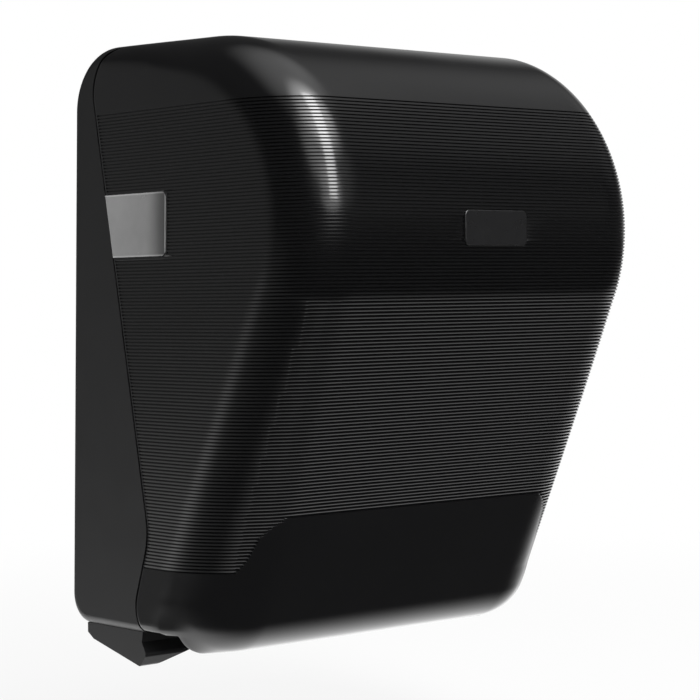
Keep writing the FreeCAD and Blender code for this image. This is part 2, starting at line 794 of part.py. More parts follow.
shell_tube = rod("drum_tube", "X", "drum_radius", ("-drum_half", "drum_half"), drum_centre)
shell_bore = rod("drum_bore", "X", "drum_radius - drum_wall", ("-drum_half", "drum_half"), drum_centre)
slot_box = box("drum_slot_box", ("-carrier_half - cut_past", "carrier_half + cut_past"),
               ("-drum_depth - drum_slot / 2", "-drum_depth + drum_slot / 2"),
               ("-drum_drop - 2 * drum_radius", "-drum_drop"))
band_seats = []
bands = []
for i in range(SIZES["band_count"]):
    middle = "(%d - (band_count - 1) / 2) * band_pitch" % i
    span = (middle + " - band_width / 2", middle + " + band_width / 2")
    ring = rod("band_ring", "X", "drum_radius", span, drum_centre)
    seat_floor = rod("band_seat_floor", "X", "drum_radius - band_wall", span, drum_centre)
    band_seats.append(cut("band_seat", ring, [seat_floor]))
    hollow = rod("band_hollow", "X", "drum_radius - band_wall + band_play", span, drum_centre)
    slot = box("band_slot", span,
               ("-drum_depth - drum_slot / 2 - cut_past", "-drum_depth + drum_slot / 2 + cut_past"),
               ("-drum_drop - 2 * drum_radius", "-drum_drop"))
    bands.append(cut("band", ring, [hollow, slot]))
node(cut("drum_tube_cut", shell_tube, [shell_bore, slot_box] + band_seats), "drum_shell")
node(group("grip_band_group", bands), "grip_bands")


def drum_cap(name, inner, outer, shaft_from, shaft_to, label, slots):
    disc = rod(name + "_disc", "X", "drum_radius - drum_wall", (inner, outer), drum_centre)
    stub = rod(name + "_stub", "X", "shaft_radius", (shaft_from, shaft_to), drum_centre)
    blank = join(name + "_blank", [disc, stub])
    return node(cut(name, blank, slots), label)


guide_slot_width = "(2 * (follower_pin_radius + guide_slot_play))"
guide_slot_y = ("-drum_depth - %s / 2" % guide_slot_width, "-drum_depth + %s / 2" % guide_slot_width)
guide_slot_z = ("-drum_drop - follower_drop - blade_travel - follower_pin_radius - cut_past",
                "-drum_drop - follower_drop + follower_pin_radius + guide_slot_room")
guide_slot = box("cap_guide_slot", ("-drum_half - cut_past", "-drum_half + cap_wall + cut_past"),
                 guide_slot_y, guide_slot_z)
drum_cap("cap_left", "-drum_half", "-drum_half + cap_wall",
         "-shaft_reach_left", "-drum_half", "drum_cap_left", [guide_slot])
right_pin_slot = box("cap_right_slot", ("drum_half - cap_wall - cut_past", "drum_half + cut_past"),
                     guide_slot_y, guide_slot_z)
drum_cap("cap_right", "drum_half - cap_wall", "drum_half",
         "drum_half", "shaft_reach_right", "drum_cap_right", [right_pin_slot])

# Blade carrier, blade, screws and follower, which slide out of the slot together
carrier_bar = box("carrier_bar", ("-carrier_half", "carrier_half"),
                  ("-drum_depth - carrier_width / 2", "-drum_depth + carrier_width / 2"),
                  ("-drum_drop - carrier_base", "-drum_drop - carrier_top"))
blade_rebate = box("blade_rebate", ("-carrier_half", "carrier_half"),
                   ("-drum_depth - carrier_width / 2", "-drum_depth - carrier_width / 2 + blade_wall"),
                   ("-drum_drop - carrier_base", "-drum_drop - blade_top"))
follower_z = "(-drum_drop - follower_drop)"
follower_pin = rod("follower_pin_left", "X", "follower_pin_radius",
                   ("-drum_half - cap_wall - follower_pin_past", "-carrier_half + cut_past"),
                   ("-drum_depth", follower_z))
guide_pin = rod("guide_pin_right", "X", "follower_pin_radius",
                ("carrier_half - cut_past", "drum_half + cut_past"), ("-drum_depth", follower_z))
blade_screw_at = [("%s * blade_screw_pitch" % k) for k in ("-1", "0", "1")]
blade_bolt_z = "(-drum_drop - (blade_top + carrier_base) / 2)"
blade_bore_y = ("-drum_depth - drum_radius", "-drum_depth + blade_shank_past + 2 * screw_play")
blade_bores = []
for x in blade_screw_at:
    blade_bores.append(rod("blade_bore", "Y", "screw_radius + screw_play", blade_bore_y, (x, blade_bolt_z)))
carrier_blank = join("carrier_blank", [carrier_bar, follower_pin, guide_pin])
node(cut("carrier", carrier_blank, [blade_rebate] + blade_bores), "blade_carrier")


def toothed_blade():
    """A thin plate whose lower edge is a row of triangular teeth."""
    half, pitch = number("blade_half"), number("tooth_pitch")
    tip, root = number("-drum_drop - blade_tip"), number("-drum_drop - blade_tip + tooth_height")
    top, back = number("-drum_drop - blade_top"), number("-drum_depth - carrier_width / 2 + blade_wall")
    count = int(2 * half / pitch)
    start = -count * pitch / 2
    points = [FreeCAD.Vector(start, back, top)]
    for i in range(count):
        points.append(FreeCAD.Vector(start + i * pitch, back, root))
        points.append(FreeCAD.Vector(start + (i + 0.5) * pitch, back, tip))
    points.append(FreeCAD.Vector(-start, back, root))
    points.append(FreeCAD.Vector(-start, back, top))
    points.append(points[0])
    plate = Part.Face(Part.makePolygon(points)).extrude(FreeCAD.Vector(0, -number("blade_wall"), 0))
    for x in blade_screw_at:
        behind = FreeCAD.Vector(number(x), back + number("blade_wall"), number(blade_bolt_z))
        bore = Part.makeCylinder(number("screw_radius + screw_play"), 4 * number("blade_wall"), behind,
                                 FreeCAD.Vector(0, -1, 0))
        plate = plate.cut(bore)
    return plate


blade = doc.addObject("Part::Feature", "blade")
blade.Shape = toothed_blade()
node(blade, "cutting_blade")

blade_screws = []
blade_face = "(-drum_depth - carrier_width / 2)"
for x in blade_screw_at:
    shank = rod("blade_shank", "Y", "screw_radius", (blade_face, "-drum_depth + blade_shank_past"),
                (x, blade_bolt_z))
    head = rod("blade_head", "Y", "blade_head_radius", (blade_face + " - blade_head_wall", blade_face),
               (x, blade_bolt_z))
    blade_screws.append(join("blade_screw", [shank, head]))
node(group("blade_screw_group", blade_screws), "blade_screws")

follower_span = ("-plate_inner + cam_wall - cam_track_wall + follower_side_play",
                 "-drum_half - follower_cap_play")
follower_blank = rod("follower_blank", "X", "follower_radius", follower_span, ("-drum_depth", follower_z))
follower_bore = rod("follower_bore", "X", "follower_pin_radius + running_play", follower_span,
                    ("-drum_depth", follower_z))
node(cut("follower", follower_blank, [follower_bore]), "cam_follower")

# Fixed cam on the left frame plate: a cup that the follower runs in, round a boss
cam_span = ("-plate_inner", "-plate_inner + cam_wall")
track_span = ("-plate_inner + cam_wall - cam_track_wall", "-plate_inner + cam_wall")
cam_disc = rod("cam_disc", "X", "cam_radius", cam_span, drum_centre)
track_outer = rod("track_outer", "X", "follower_drop + blade_travel + follower_radius + track_play",
                  track_span, drum_centre)
track_inner = rod("track_inner", "X", "follower_drop - follower_radius - track_play",
                  track_span, drum_centre)
track_ring = cut("track_ring", track_outer, [track_inner])
cam_bore = rod("cam_bore", "X", "bush_radius", cam_span, drum_centre)
node(cut("cam", cam_disc, [track_ring, cam_bore]), "blade_cam")


# Pressure roller, its bracket, rod and springs

roller_centre = ("-(drum_depth + drum_radius + nip_gap + roller_radius)", "-drum_drop")
sleeve = rod("roller_sleeve", "X", "roller_radius", ("-roller_half", "roller_half"), roller_centre)
sleeve_bore = rod("roller_bore", "X", "roller_shaft_radius", ("-roller_half", "roller_half"), roller_centre)
node(cut("roller_tube", sleeve, [sleeve_bore]), "pressure_roller")
node(rod("roller_shaft_bar", "X", "roller_shaft_radius", ("-roller_shaft_reach", "roller_shaft_reach"),
         roller_centre), "roller_shaft")

arm_span = ("arm_outer - arm_wall", "arm_outer")
eye_top = rod("arm_eye_top", "X", "arm_eye_radius", arm_span, pivot_centre)
eye_low = rod("arm_eye_low", "X", "arm_eye_radius - arm_eye_step", arm_span, roller_centre)
web = prism("arm_web", "YZ", [
    ("-pivot_depth - arm_eye_radius", "-pivot_drop"),
    (roller_centre[0] + " - arm_eye_radius + arm_eye_step", "-drum_drop"),
    (roller_centre[0] + " + arm_eye_radius - arm_eye_step", "-drum_drop"),
    ("-pivot_depth + arm_eye_radius", "-pivot_drop"),
], "arm_outer - arm_wall", "arm_wall")
arm_right = join("arm_right", [eye_top, eye_low, web])
arm_left = mirror("arm_left", arm_right)
bridge = box("arm_bridge", ("-arm_outer", "arm_outer"),
             ("-pivot_depth - arm_eye_radius", "-pivot_depth - arm_eye_radius + bridge_wall"),
             ("-pivot_drop - bridge_height", "-pivot_drop"))
arm_bores = [
    rod("arm_rod_bore", "X", "pivot_rod_radius + running_play", ("-2 * arm_outer", "2 * arm_outer"),
        pivot_centre),
    rod("arm_shaft_bore", "X", "roller_shaft_radius + running_play", ("-2 * arm_outer", "2 * arm_outer"),
        roller_centre),
]
node(cut("bracket", join("bracket_blank", [arm_right, arm_left, bridge]), arm_bores), "pressure_bracket")
node(rod("pivot_rod_bar", "X", "pivot_rod_radius", ("-pivot_rod_reach", "pivot_rod_reach"), pivot_centre),
     "pivot_rod")
coil_span = ("arm_outer - arm_wall - coil_inset - coil_length", "arm_outer - arm_wall - coil_inset")
coil = cut("coil_right", rod("coil_blank", "X", "coil_radius", coil_span, pivot_centre),
           [rod("coil_bore", "X", "pivot_rod_radius + coil_play", coil_span, pivot_centre)])
node(group("pressure_spring_pair", [coil, mirror("coil_left", coil)]), "pressure_springs")


# Paper guide between the frame plates, behind the paper

guide_sheet = box("guide_sheet", ("-plate_inner", "plate_inner"),
                  ("-guide_depth", "-guide_depth + guide_wall"), ("-guide_low_drop", "-guide_top_drop"))
guide_shelf = box("guide_shelf", ("-plate_inner", "plate_inner"),
                  ("-guide_depth", "-guide_depth + guide_ledge"),
                  ("-guide_top_drop - guide_wall", "-guide_top_drop"))
node(join("guide", [guide_sheet, guide_shelf]), "paper_guide")


# Feed wheel on the right, crank with return spring on the left

wheel_span = ("wheel_inner", "wheel_inner + wheel_width")
wheel_disc = rod("wheel_disc", "X", "wheel_radius", wheel_span, drum_centre)
wheel_bore = rod("wheel_bore", "X", "shaft_radius", ("0", "2 * wheel_inner"), drum_centre)
flutes = []
for i in range(SIZES["flute_count"]):
    turn = "%d * 360 / flute_count" % i
    flute_at = ("-drum_depth + wheel_radius * cos(%s)" % turn,
                "-drum_drop + wheel_radius * sin(%s)" % turn)
    flutes.append(rod("wheel_flute", "X", "flute_radius", wheel_span, flute_at))
node(cut("wheel", wheel_disc, [wheel_bore] + flutes), "feed_wheel")

crank_disc = rod("crank_disc_blank", "X", "crank_radius", ("-crank_inner - crank_wall", "-crank_inner"),
                 drum_centre)
crank_bore = rod("crank_bore", "X", "shaft_radius", ("-2 * crank_inner", "0"), drum_centre)
crank_pin_z = "(-drum_drop - crank_throw)"
crank_pin_bore = rod("crank_pin_bore", "X", "crank_pin_radius", ("-2 * crank_inner", "0"),
                     ("-drum_depth", crank_pin_z))
node(cut("crank", crank_disc, [crank_bore, crank_pin_bore]), "return_crank")
node(rod("crank_pin_bar", "X", "crank_pin_radius", ("-crank_pin_reach", "-crank_inner"),
         ("-drum_depth", crank_pin_z)), "crank_pin")
node(rod("post_bar", "X", "post_radius", ("-post_reach", "-plate_inner - post_gap"),
         ("-post_depth", "-post_drop")), "spring_post")


def return_spring():
    """Closed outline of the tension spring: a barrel of coils and two eyes round the pin and the post."""
    x = -number("spring_plane")
    low = FreeCAD.Vector(x, number("-drum_depth"), number(crank_pin_z))
    high = FreeCAD.Vector(x, number("-post_depth"), number("-post_drop"))
    along = (high - low).normalize()
    across = FreeCAD.Vector(1, 0, 0)
    wire = number("spring_wire")
    bite = number("hook_bite")
    eyes = []
    for end, bar in ((low, "crank_pin_radius"), (high, "post_radius")):
        hollow = number(bar + " + hook_play")
        ring = Part.makeCylinder(hollow + wire, 2 * wire, end - across * wire, across)
        eyes.append(ring.cut(Part.makeCylinder(hollow, 4 * wire, end - across * 2 * wire, across)))
    clear = number("spring_eye + hook_past")
    length = (high - low).Length - 2 * clear
    barrel = Part.makeCylinder(number("spring_radius"), length, low + along * clear, along)
    shank = 0.8 * wire
    hook_low = Part.makeCylinder(shank, clear, low + along * (number("crank_pin_radius") + bite), along)
    hook_high = Part.makeCylinder(shank, clear, high - along * (number("post_radius") + bite), -along)
    return eyes[0].multiFuse([eyes[1], barrel, hook_low, hook_high]).removeSplitter()


spring = doc.addObject("Part::Feature", "spring")
spring.Shape = return_spring()
node(spring, "return_spring")


# Roll holders: a fixed arm on the left, a swinging arm on the right, a core hub on each

roll_centre = ("-roll_depth", "roll_height")


def holder_arm(name, inner, wall, root_depth):
    """Flat arm from the back of the bay to the roll's centre."""
    start = "(%s)" % inner
    web = prism(name + "_web", "YZ", [
        ("-(%s)" % root_depth, "roll_height - holder_base / 2"),
        ("-(%s)" % root_depth, "roll_height + holder_base / 2"),
        ("-roll_depth", "roll_height + holder_tip_radius"),
        ("-roll_depth", "roll_height - holder_tip_radius"),
    ], start, wall)
    tip = rod(name + "_tip", "X", "holder_tip_radius", (start, start + " + (%s)" % wall), roll_centre)
    return [web, tip]


left_start = "-holder_inner - holder_wall"
left_parts = holder_arm("holder_left", left_start, "holder_wall", "back_wall")
left_flange = box("holder_left_flange", (left_start + " - holder_flange_reach", "-holder_inner"),
                  ("-back_wall - flange_wall", "-back_wall"),
                  ("roll_height - holder_base / 2", "roll_height + holder_base / 2"))
left_axle_bore = rod("holder_left_bore", "X", "axle_radius", ("-2 * holder_inner", "0"), roll_centre)
left_pilots = [screw_bore("holder_pilot", p, "-3 * back_wall") for p in screw_points[4::2][:2]]
left_blank = join("holder_left_blank", left_parts + [left_flange])
node(cut("holder_left_arm", left_blank, [left_axle_bore] + left_pilots), "roll_arm_left")

knuckle_centre = ("holder_inner + holder_wall / 2", "-knuckle_depth")
knuckle_z = ("roll_height - holder_base / 2 + holder_gap", "roll_height + holder_base / 2 - holder_gap")
right_parts = holder_arm("holder_right", "holder_inner", "holder_wall", "knuckle_depth")
trim_low = box("holder_trim_low", ("0", "2 * holder_inner"), ("-roll_depth", "0"),
               ("0", knuckle_z[0]))
trim_high = box("holder_trim_high", ("0", "2 * holder_inner"), ("-roll_depth", "0"),
                (knuckle_z[1], "2 * roll_height"))
knuckle = rod("knuckle", "Z", "knuckle_radius", knuckle_z, knuckle_centre)
knuckle_bore = rod("knuckle_bore", "Z", "knuckle_pin_radius + running_play", ("0", "2 * roll_height"),
                   knuckle_centre)
right_axle_bore = rod("holder_right_bore", "X", "axle_radius", ("0", "2 * holder_inner"), roll_centre)
node(cut("holder_right_arm", join("holder_right_blank", right_parts + [knuckle]),
         [trim_low, trim_high, knuckle_bore, right_axle_bore]), "roll_arm_right")

lug_x = ("holder_inner + holder_wall / 2 - knuckle_radius",
         "holder_inner + holder_wall / 2 + knuckle_radius")
lug_low_z = ("roll_height - holder_base / 2 - lug_wall", "roll_height - holder_base / 2")
lug_high_z = ("roll_height + holder_base / 2", "roll_height + holder_base / 2 + lug_wall")
lug_parts = []
for tag, span in (("low", lug_low_z), ("high", lug_high_z)):
    lug_parts.append(box("lug_%s_block" % tag, lug_x,
                         ("-knuckle_depth", "-back_wall - flange_wall + sink"), span))
    lug_parts.append(rod("lug_%s_round" % tag, "Z", "knuckle_radius", span, knuckle_centre))
lug_plate = box("lug_plate", ("holder_inner - lug_plate_in", "holder_inner + lug_plate_out"),
                ("-back_wall - flange_wall", "-back_wall"), (lug_low_z[0], lug_high_z[1]))
lug_bore = rod("lug_bore", "Z", "knuckle_pin_radius", (lug_low_z[0], lug_high_z[1]), knuckle_centre)
lug_pilots = [screw_bore("lug_pilot", p, "-3 * back_wall") for p in screw_points[5::2][:2]]
lug_blank = join("lug_blank", lug_parts + [lug_plate])
node(cut("lug_bracket", lug_blank, [lug_bore] + lug_pilots), "arm_hinge_bracket")
node(rod("arm_pin_bar", "Z", "knuckle_pin_radius",
         (lug_low_z[0] + " - cut_past", lug_high_z[1] + " + cut_past"), knuckle_centre), "arm_hinge_pin")


def core_hub(name):
    """Flanged cup that enters the core of the roll, on the right side."""
    face = "holder_inner - holder_gap"
    cup = rod(name + "_cup", "X", "hub_radius", (face + " - hub_reach", face), roll_centre)
    flange = rod(name + "_flange", "X", "hub_flange_radius", (face + " - hub_flange_wall", face), roll_centre)
    bore = rod(name + "_bore", "X", "axle_radius + running_play", ("0", "2 * holder_inner"), roll_centre)
    room = rod(name + "_room", "X", "hub_radius - hub_wall",
               (face + " - hub_reach - cut_past", face + " - hub_reach + hub_reach / 2"), roll_centre)
    nose = rounded(name + "_nose", join(name + "_blank", [cup, flange]), "hub_wall / 2",
                   lambda e: abs(e.BoundBox.XMax - number(face + " - hub_reach")) < 0.1)
    return cut(name, nose, [bore, room])


hub = node(core_hub("hub_right"), "core_hub_right")
node(mirror("hub_left", hub), "core_hub_left")
axle_end = "holder_inner - holder_gap - hub_reach / 2 - axle_head_play"
axle_bar = rod("axle_bar", "X", "axle_radius", (axle_end, "holder_inner + holder_wall"), roll_centre)
axle_head = rod("axle_head", "X", "axle_head_radius", (axle_end + " - axle_head_wall", axle_end), roll_centre)
axle = node(join("axle_right", [axle_bar, axle_head]), "hub_axle_right")
node(mirror("axle_left", axle), "hub_axle_left")


# Lock: housing and nut in the cover, turning plug with its cam, catch on the chassis

lock_xy = ("0", "-lock_depth")
housing = rod("housing", "Z", "housing_radius", ("lock_low", "top_height"), lock_xy)
plug_room = rod("plug_room", "Z", "plug_radius + running_play", ("lock_low", "top_height"), lock_xy)
node(cut("housing_tube", housing, [plug_room]), "lock_housing")
nut_z = ("top_height - cover_wall - lock_nut_wall", "top_height - cover_wall")
nut_points = []
for i in range(6):
    nut_points.append(("lock_nut_radius / cos(30) * cos(%d)" % (60 * i + 30),
                       "-lock_depth + lock_nut_radius / cos(30) * sin(%d)" % (60 * i + 30)))
nut_points[1] = ("0", "-lock_depth + lock_nut_radius / cos(30)")
nut_points[4] = ("0", "-lock_depth - lock_nut_radius / cos(30)")
nut_hex = prism("nut_hex", "XY", nut_points, nut_z[0], "lock_nut_wall")
nut_bore = rod("nut_bore", "Z", "housing_radius", nut_z, lock_xy)
node(cut("nut", nut_hex, [nut_bore]), "lock_nut")
plug_bar = rod("plug_bar", "Z", "plug_radius", ("lock_low - plug_sink", "top_height - plug_sink"), lock_xy)
key_way = box("key_way", ("-plug_radius * 0.7", "plug_radius * 0.7"),
              ("-lock_depth - key_slot / 2", "-lock_depth + key_slot / 2"),
              ("top_height - key_depth", "2 * top_height"))
node(cut("plug", plug_bar, [key_way]), "lock_plug")
cam_z = ("lock_low - plug_sink - cam_thick", "lock_low - plug_sink")
cam_y = ("-lock_depth - cam_arm_width / 2", "-lock_depth + cam_arm_width / 2")
cam_arm = box("cam_arm", ("-cam_reach", "0"), cam_y, cam_z)
cam_eye = rod("cam_eye", "Z", "cam_arm_width * 0.7", cam_z, lock_xy)
finger = box("cam_finger", ("-cam_reach", "-cam_reach + finger_wall"), cam_y, ("finger_low", cam_z[0]))
cam_hole = rod("cam_hole", "Z", "screw_radius + screw_play", ("finger_low", "top_height"), lock_xy)
node(cut("cam_plate", join("cam_blank", [cam_arm, cam_eye, finger]), [cam_hole]), "lock_cam")
cam_screw_shank = rod("cam_screw_shank", "Z", "screw_radius", cam_z, lock_xy)
cam_screw_head = rod("cam_screw_head", "Z", "screw_head_radius",
                     (cam_z[0] + " - screw_head_wall", cam_z[0]), lock_xy)
node(join("cam_screw", [cam_screw_shank, cam_screw_head]), "lock_screw")

catch_front = "-(lock_depth - cam_reach + finger_wall + catch_play)"
catch_back = box("catch_back", ("-catch_half", "catch_half"), ("-back_wall - catch_wall", "-back_wall"),
                 ("catch_low", "catch_shelf"))
catch_top = box("catch_top", ("-catch_half", "catch_half"),
                (catch_front + " - catch_wall", "-back_wall - catch_wall + cut_past"),
                ("catch_shelf - catch_wall", "catch_shelf"))
catch_rib = box("catch_rib", ("-cam_arm_width / 2 + cut_past", "cam_arm_width / 2 + cut_past"),
                (catch_front + " - catch_wall", catch_front),
                ("catch_shelf - catch_wall", "catch_lip"))
catch_pilots = [screw_bore("catch_pilot", p, "-3 * back_wall") for p in screw_points[8:10]]
node(cut("catch", join("catch_blank", [catch_back, catch_top, catch_rib]), catch_pilots), "lock_catch")


# Hinge pins of the cover and the screws in the back wall

pins = []
for tag, span in (("right", ("hinge_pin_inner", "hinge_pin_outer")),
                  ("left", ("-hinge_pin_outer", "-hinge_pin_inner"))):
    pins.append(rod("hinge_pin_" + tag, "X", "hinge_pin_radius", span, ("-hinge_depth", "-hinge_drop")))
node(group("hinge_pin_pair", pins), "cover_hinge_pins")

wall_screws = []
seat_y = "(-back_wall - flange_wall)"
for point in screw_points:
    shank = rod("wall_shank", "Y", "screw_radius", (seat_y, "-screw_skin"), point)
    head = rod("wall_head", "Y", "screw_head_radius", (seat_y + " - screw_head_wall", seat_y), point)
    wall_screws.append(join("frame_screw", [shank, head]))
node(group("frame_screw_group", wall_screws), "frame_screws")


# Check and export

doc.recompute()
faults = []
for thing in doc.Objects:
    if any(word in thing.State for word in ("Invalid", "Error")):
        faults.append("%s is %s" % (thing.Name, thing.State))
for thing in nodes:
    if thing.Shape.isNull() or not thing.Shape.isValid() or not thing.Shape.Solids:
        faults.append("%s has no valid solid" % thing.Label)
if faults:
    raise RuntimeError("; ".join(faults))
os.makedirs("parts", exist_ok=True)
for thing in nodes:
    thing.Shape.exportStep("parts/%s.step" % thing.Label)
    print("%-22s %d solid %9.0f mm3" % (thing.Label, len(thing.Shape.Solids), thing.Shape.Volume))
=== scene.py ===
import json
import math

import bpy
import numpy as np
from mathutils import Matrix, Quaternion, Vector

# Looks of a wall-mounted autocut towel dispenser: ribbed gloss cover, smoked windows, satin chassis and the
# cutting mechanism inside. The scene is in metres and the sizes below are in millimetres.
# +Z up, the front faces -Y, the wall is the plane Y = 0.
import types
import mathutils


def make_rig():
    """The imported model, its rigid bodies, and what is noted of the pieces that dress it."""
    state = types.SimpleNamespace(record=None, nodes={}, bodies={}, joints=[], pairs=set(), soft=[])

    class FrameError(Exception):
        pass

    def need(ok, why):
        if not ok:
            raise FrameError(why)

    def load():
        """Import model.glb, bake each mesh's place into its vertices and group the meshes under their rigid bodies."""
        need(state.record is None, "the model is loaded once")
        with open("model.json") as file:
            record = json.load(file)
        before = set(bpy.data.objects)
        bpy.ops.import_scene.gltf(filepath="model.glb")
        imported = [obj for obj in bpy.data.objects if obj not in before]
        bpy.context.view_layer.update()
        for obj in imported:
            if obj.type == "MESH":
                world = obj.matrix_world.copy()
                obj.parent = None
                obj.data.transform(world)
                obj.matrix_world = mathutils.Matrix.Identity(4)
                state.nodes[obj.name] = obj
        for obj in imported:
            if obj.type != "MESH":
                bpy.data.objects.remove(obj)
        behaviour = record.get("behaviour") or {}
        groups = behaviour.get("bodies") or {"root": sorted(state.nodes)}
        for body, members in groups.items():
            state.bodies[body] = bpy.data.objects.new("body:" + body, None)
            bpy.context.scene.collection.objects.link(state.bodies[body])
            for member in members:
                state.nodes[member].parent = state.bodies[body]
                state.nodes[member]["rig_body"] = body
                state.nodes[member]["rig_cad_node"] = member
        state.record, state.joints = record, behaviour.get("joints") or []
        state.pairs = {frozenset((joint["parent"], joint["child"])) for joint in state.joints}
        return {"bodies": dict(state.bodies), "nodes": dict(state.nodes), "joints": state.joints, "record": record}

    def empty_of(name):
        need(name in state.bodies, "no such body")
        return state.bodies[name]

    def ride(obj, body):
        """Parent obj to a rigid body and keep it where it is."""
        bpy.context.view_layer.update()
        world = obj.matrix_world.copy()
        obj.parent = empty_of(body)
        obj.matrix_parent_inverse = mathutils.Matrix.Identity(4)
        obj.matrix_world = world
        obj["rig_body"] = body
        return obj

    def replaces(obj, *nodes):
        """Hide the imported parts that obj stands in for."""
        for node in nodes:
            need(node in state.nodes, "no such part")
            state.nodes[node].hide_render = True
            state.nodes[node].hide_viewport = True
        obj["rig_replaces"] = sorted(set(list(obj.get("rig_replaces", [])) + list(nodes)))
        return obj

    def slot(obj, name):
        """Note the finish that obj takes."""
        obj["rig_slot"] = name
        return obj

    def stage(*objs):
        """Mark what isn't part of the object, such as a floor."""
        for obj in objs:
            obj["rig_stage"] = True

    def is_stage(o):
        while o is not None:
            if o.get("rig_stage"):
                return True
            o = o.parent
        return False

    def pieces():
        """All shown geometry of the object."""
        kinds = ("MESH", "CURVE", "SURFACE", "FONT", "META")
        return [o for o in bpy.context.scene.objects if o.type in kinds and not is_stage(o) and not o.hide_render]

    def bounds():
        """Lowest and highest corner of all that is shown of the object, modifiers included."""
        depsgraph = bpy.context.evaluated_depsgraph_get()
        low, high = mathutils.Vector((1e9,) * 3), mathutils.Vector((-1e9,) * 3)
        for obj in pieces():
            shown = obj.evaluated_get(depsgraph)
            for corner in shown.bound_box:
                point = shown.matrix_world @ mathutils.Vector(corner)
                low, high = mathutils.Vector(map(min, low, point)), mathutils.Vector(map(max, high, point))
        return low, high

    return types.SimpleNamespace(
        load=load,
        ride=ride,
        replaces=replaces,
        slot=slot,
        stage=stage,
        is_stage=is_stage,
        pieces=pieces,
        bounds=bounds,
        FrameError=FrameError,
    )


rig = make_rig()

bl_info = {
    "name": "Autocut towel dispenser",
    "version": (1, 0, 0),
    "blender": (4, 5, 0),
    "location": "3D View > Sidebar > Dispenser",
    "description": "Dresses the packed towel dispenser with its ribbed cover, finishes, springs and studio",
    "category": "Object",
}

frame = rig.load()
CAD_LOW, CAD_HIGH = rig.bounds()
NODES = frame["nodes"]
MM = 0.001


def linear(code):
    """An sRGB hex colour as the linear RGB that Blender's shaders take."""
    out = []
    for i in (1, 3, 5):
        c = int(code[i:i + 2], 16) / 255
        out.append(c / 12.92 if c <= 0.04045 else ((c + 0.055) / 1.055) ** 2.4)
    return tuple(out)


# Sizes and colours that a user would change

def length_prop(name, description, default):
    """A length in millimetres."""
    return bpy.props.FloatProperty(name=name, description=description + ", in millimetres", default=default,
                                   min=0.0, precision=3)


def colour_prop(name, description, code):
    """A colour given as sRGB hex."""
    return bpy.props.FloatVectorProperty(name=name, description=description, subtype="COLOR", size=3,
                                         min=0.0, max=1.0, default=linear(code))


class DispenserCoverSizes(bpy.types.PropertyGroup):
    rib_pitch: length_prop("Rib pitch", "Distance between two grooves of the cover", 2.04)
    rib_top: length_prop("First groove", "Height of the uppermost groove", 142.0)
    rib_count: bpy.props.IntProperty(name="Grooves", description="Number of grooves down the cover",
                                     default=135, min=1)
    rib_depth: length_prop("Groove depth", "Depth of a groove", 0.85)
    wall: length_prop("Wall", "Thickness of the moulded cover", 3.0)


class DispenserSpringSizes(bpy.types.PropertyGroup):
    return_wire: length_prop("Return spring wire", "Wire diameter of the return spring", 0.9)
    return_turns: bpy.props.IntProperty(name="Return spring turns", description="Number of coils", default=40,
                                        min=3)
    pressure_wire: length_prop("Pressure spring wire", "Wire diameter of the pressure springs", 1.2)
    pressure_turns: bpy.props.IntProperty(name="Pressure spring turns", description="Number of coils",
                                          default=11, min=3)


class DispenserColours(bpy.types.PropertyGroup):
    cover: colour_prop("Cover", "Polished black ABS of the cover", "#0C0C0D")
    chassis: colour_prop("Chassis", "Textured black ABS of the chassis", "#121213")
    window: colour_prop("Windows", "Smoked tint of the sight windows", "#9E9E9E")
    plate: colour_prop("Plate", "Bare plate on the front", "#141415")
    guide: colour_prop("Paper guide", "Frosted clear plastic of the paper guide", "#D9DCDE")
    frame: colour_prop("Mechanism", "Grey ABS of the frame and the drum", "#8C8E90")
    acetal: colour_prop("Acetal", "Natural white acetal of hubs, bushes and cams", "#E6E5E0")
    rubber: colour_prop("Rubber", "Rubber of the pressure roller and the grip bands", "#2A2A2B")
    steel: colour_prop("Steel", "Zinc plated steel of rods, screws and springs", "#B9BBBE")
    blade: colour_prop("Blade", "Ground stainless steel of the blade", "#C9CACC")
    chrome: colour_prop("Lock", "Nickel plated brass of the lock", "#BFC0C2")


# Outer surface of the cover, in millimetres

HALF_WIDTH, SIDE_DRAFT, LEAN = 141.9, 0.0275, math.radians(24.1)
DOME_Y, DOME_Z, DOME_R = -117.0, 71.0, 113.0
TOP_Z, BASE_Z, TOE_Z, TOE_R = 184.0, -184.0, -149.0, 35.0
TOE_Y, TOE_ARC_Z = -104.1, -163.3
TOP_START_Y, CHEEK_Z, MOUTH_Y = -46.0, -171.0, -101.0
SILL_R, CHEEK_BLEND_Y = 5.0, (-84.0, -112.0)
DOME_S = TOP_START_Y - DOME_Y
PLANE_S = DOME_S + DOME_R * (math.pi / 2 + LEAN)
FRONT_Z = DOME_Z - DOME_R * math.sin(LEAN)
# Radius of the long corner: along the top, round the dome by angle, and down the leaning front by height
TOP_RADII = ((-2, 10.6), (0, 11.0), (14, 13.7), (29, 16.9), (44, 20.4), (59, 23.8), (71, 26.25))
DOME_RADII = ((80, 29.6), (70, 32.2), (60, 34.2), (50, 35.6), (40, 36.6), (30, 37.2), (20, 37.55),
              (10, 37.75), (0, 37.85), (-10, 38.0), (-20, 38.2))
LEAN_RADII = ((FRONT_Z, 38.3), (20, 38.7), (0, 39.3), (-20, 40.1), (-40, 41.1), (-60, 42.35), (-80, 43.7),
              (-100, 45.1), (-120, 46.6), (-140, 48.0), (-149, 48.6))
EDGE_TABLE = (
    [(s, r) for s, r in TOP_RADII]
    + [(DOME_S + DOME_R * math.radians(90 - a), r) for a, r in DOME_RADII]
    + [(PLANE_S + (FRONT_Z - z) / math.cos(LEAN), r) for z, r in LEAN_RADII])
EDGE_S, EDGE_R = np.array(EDGE_TABLE).T
TOE_EDGE_R = EDGE_R[-1]


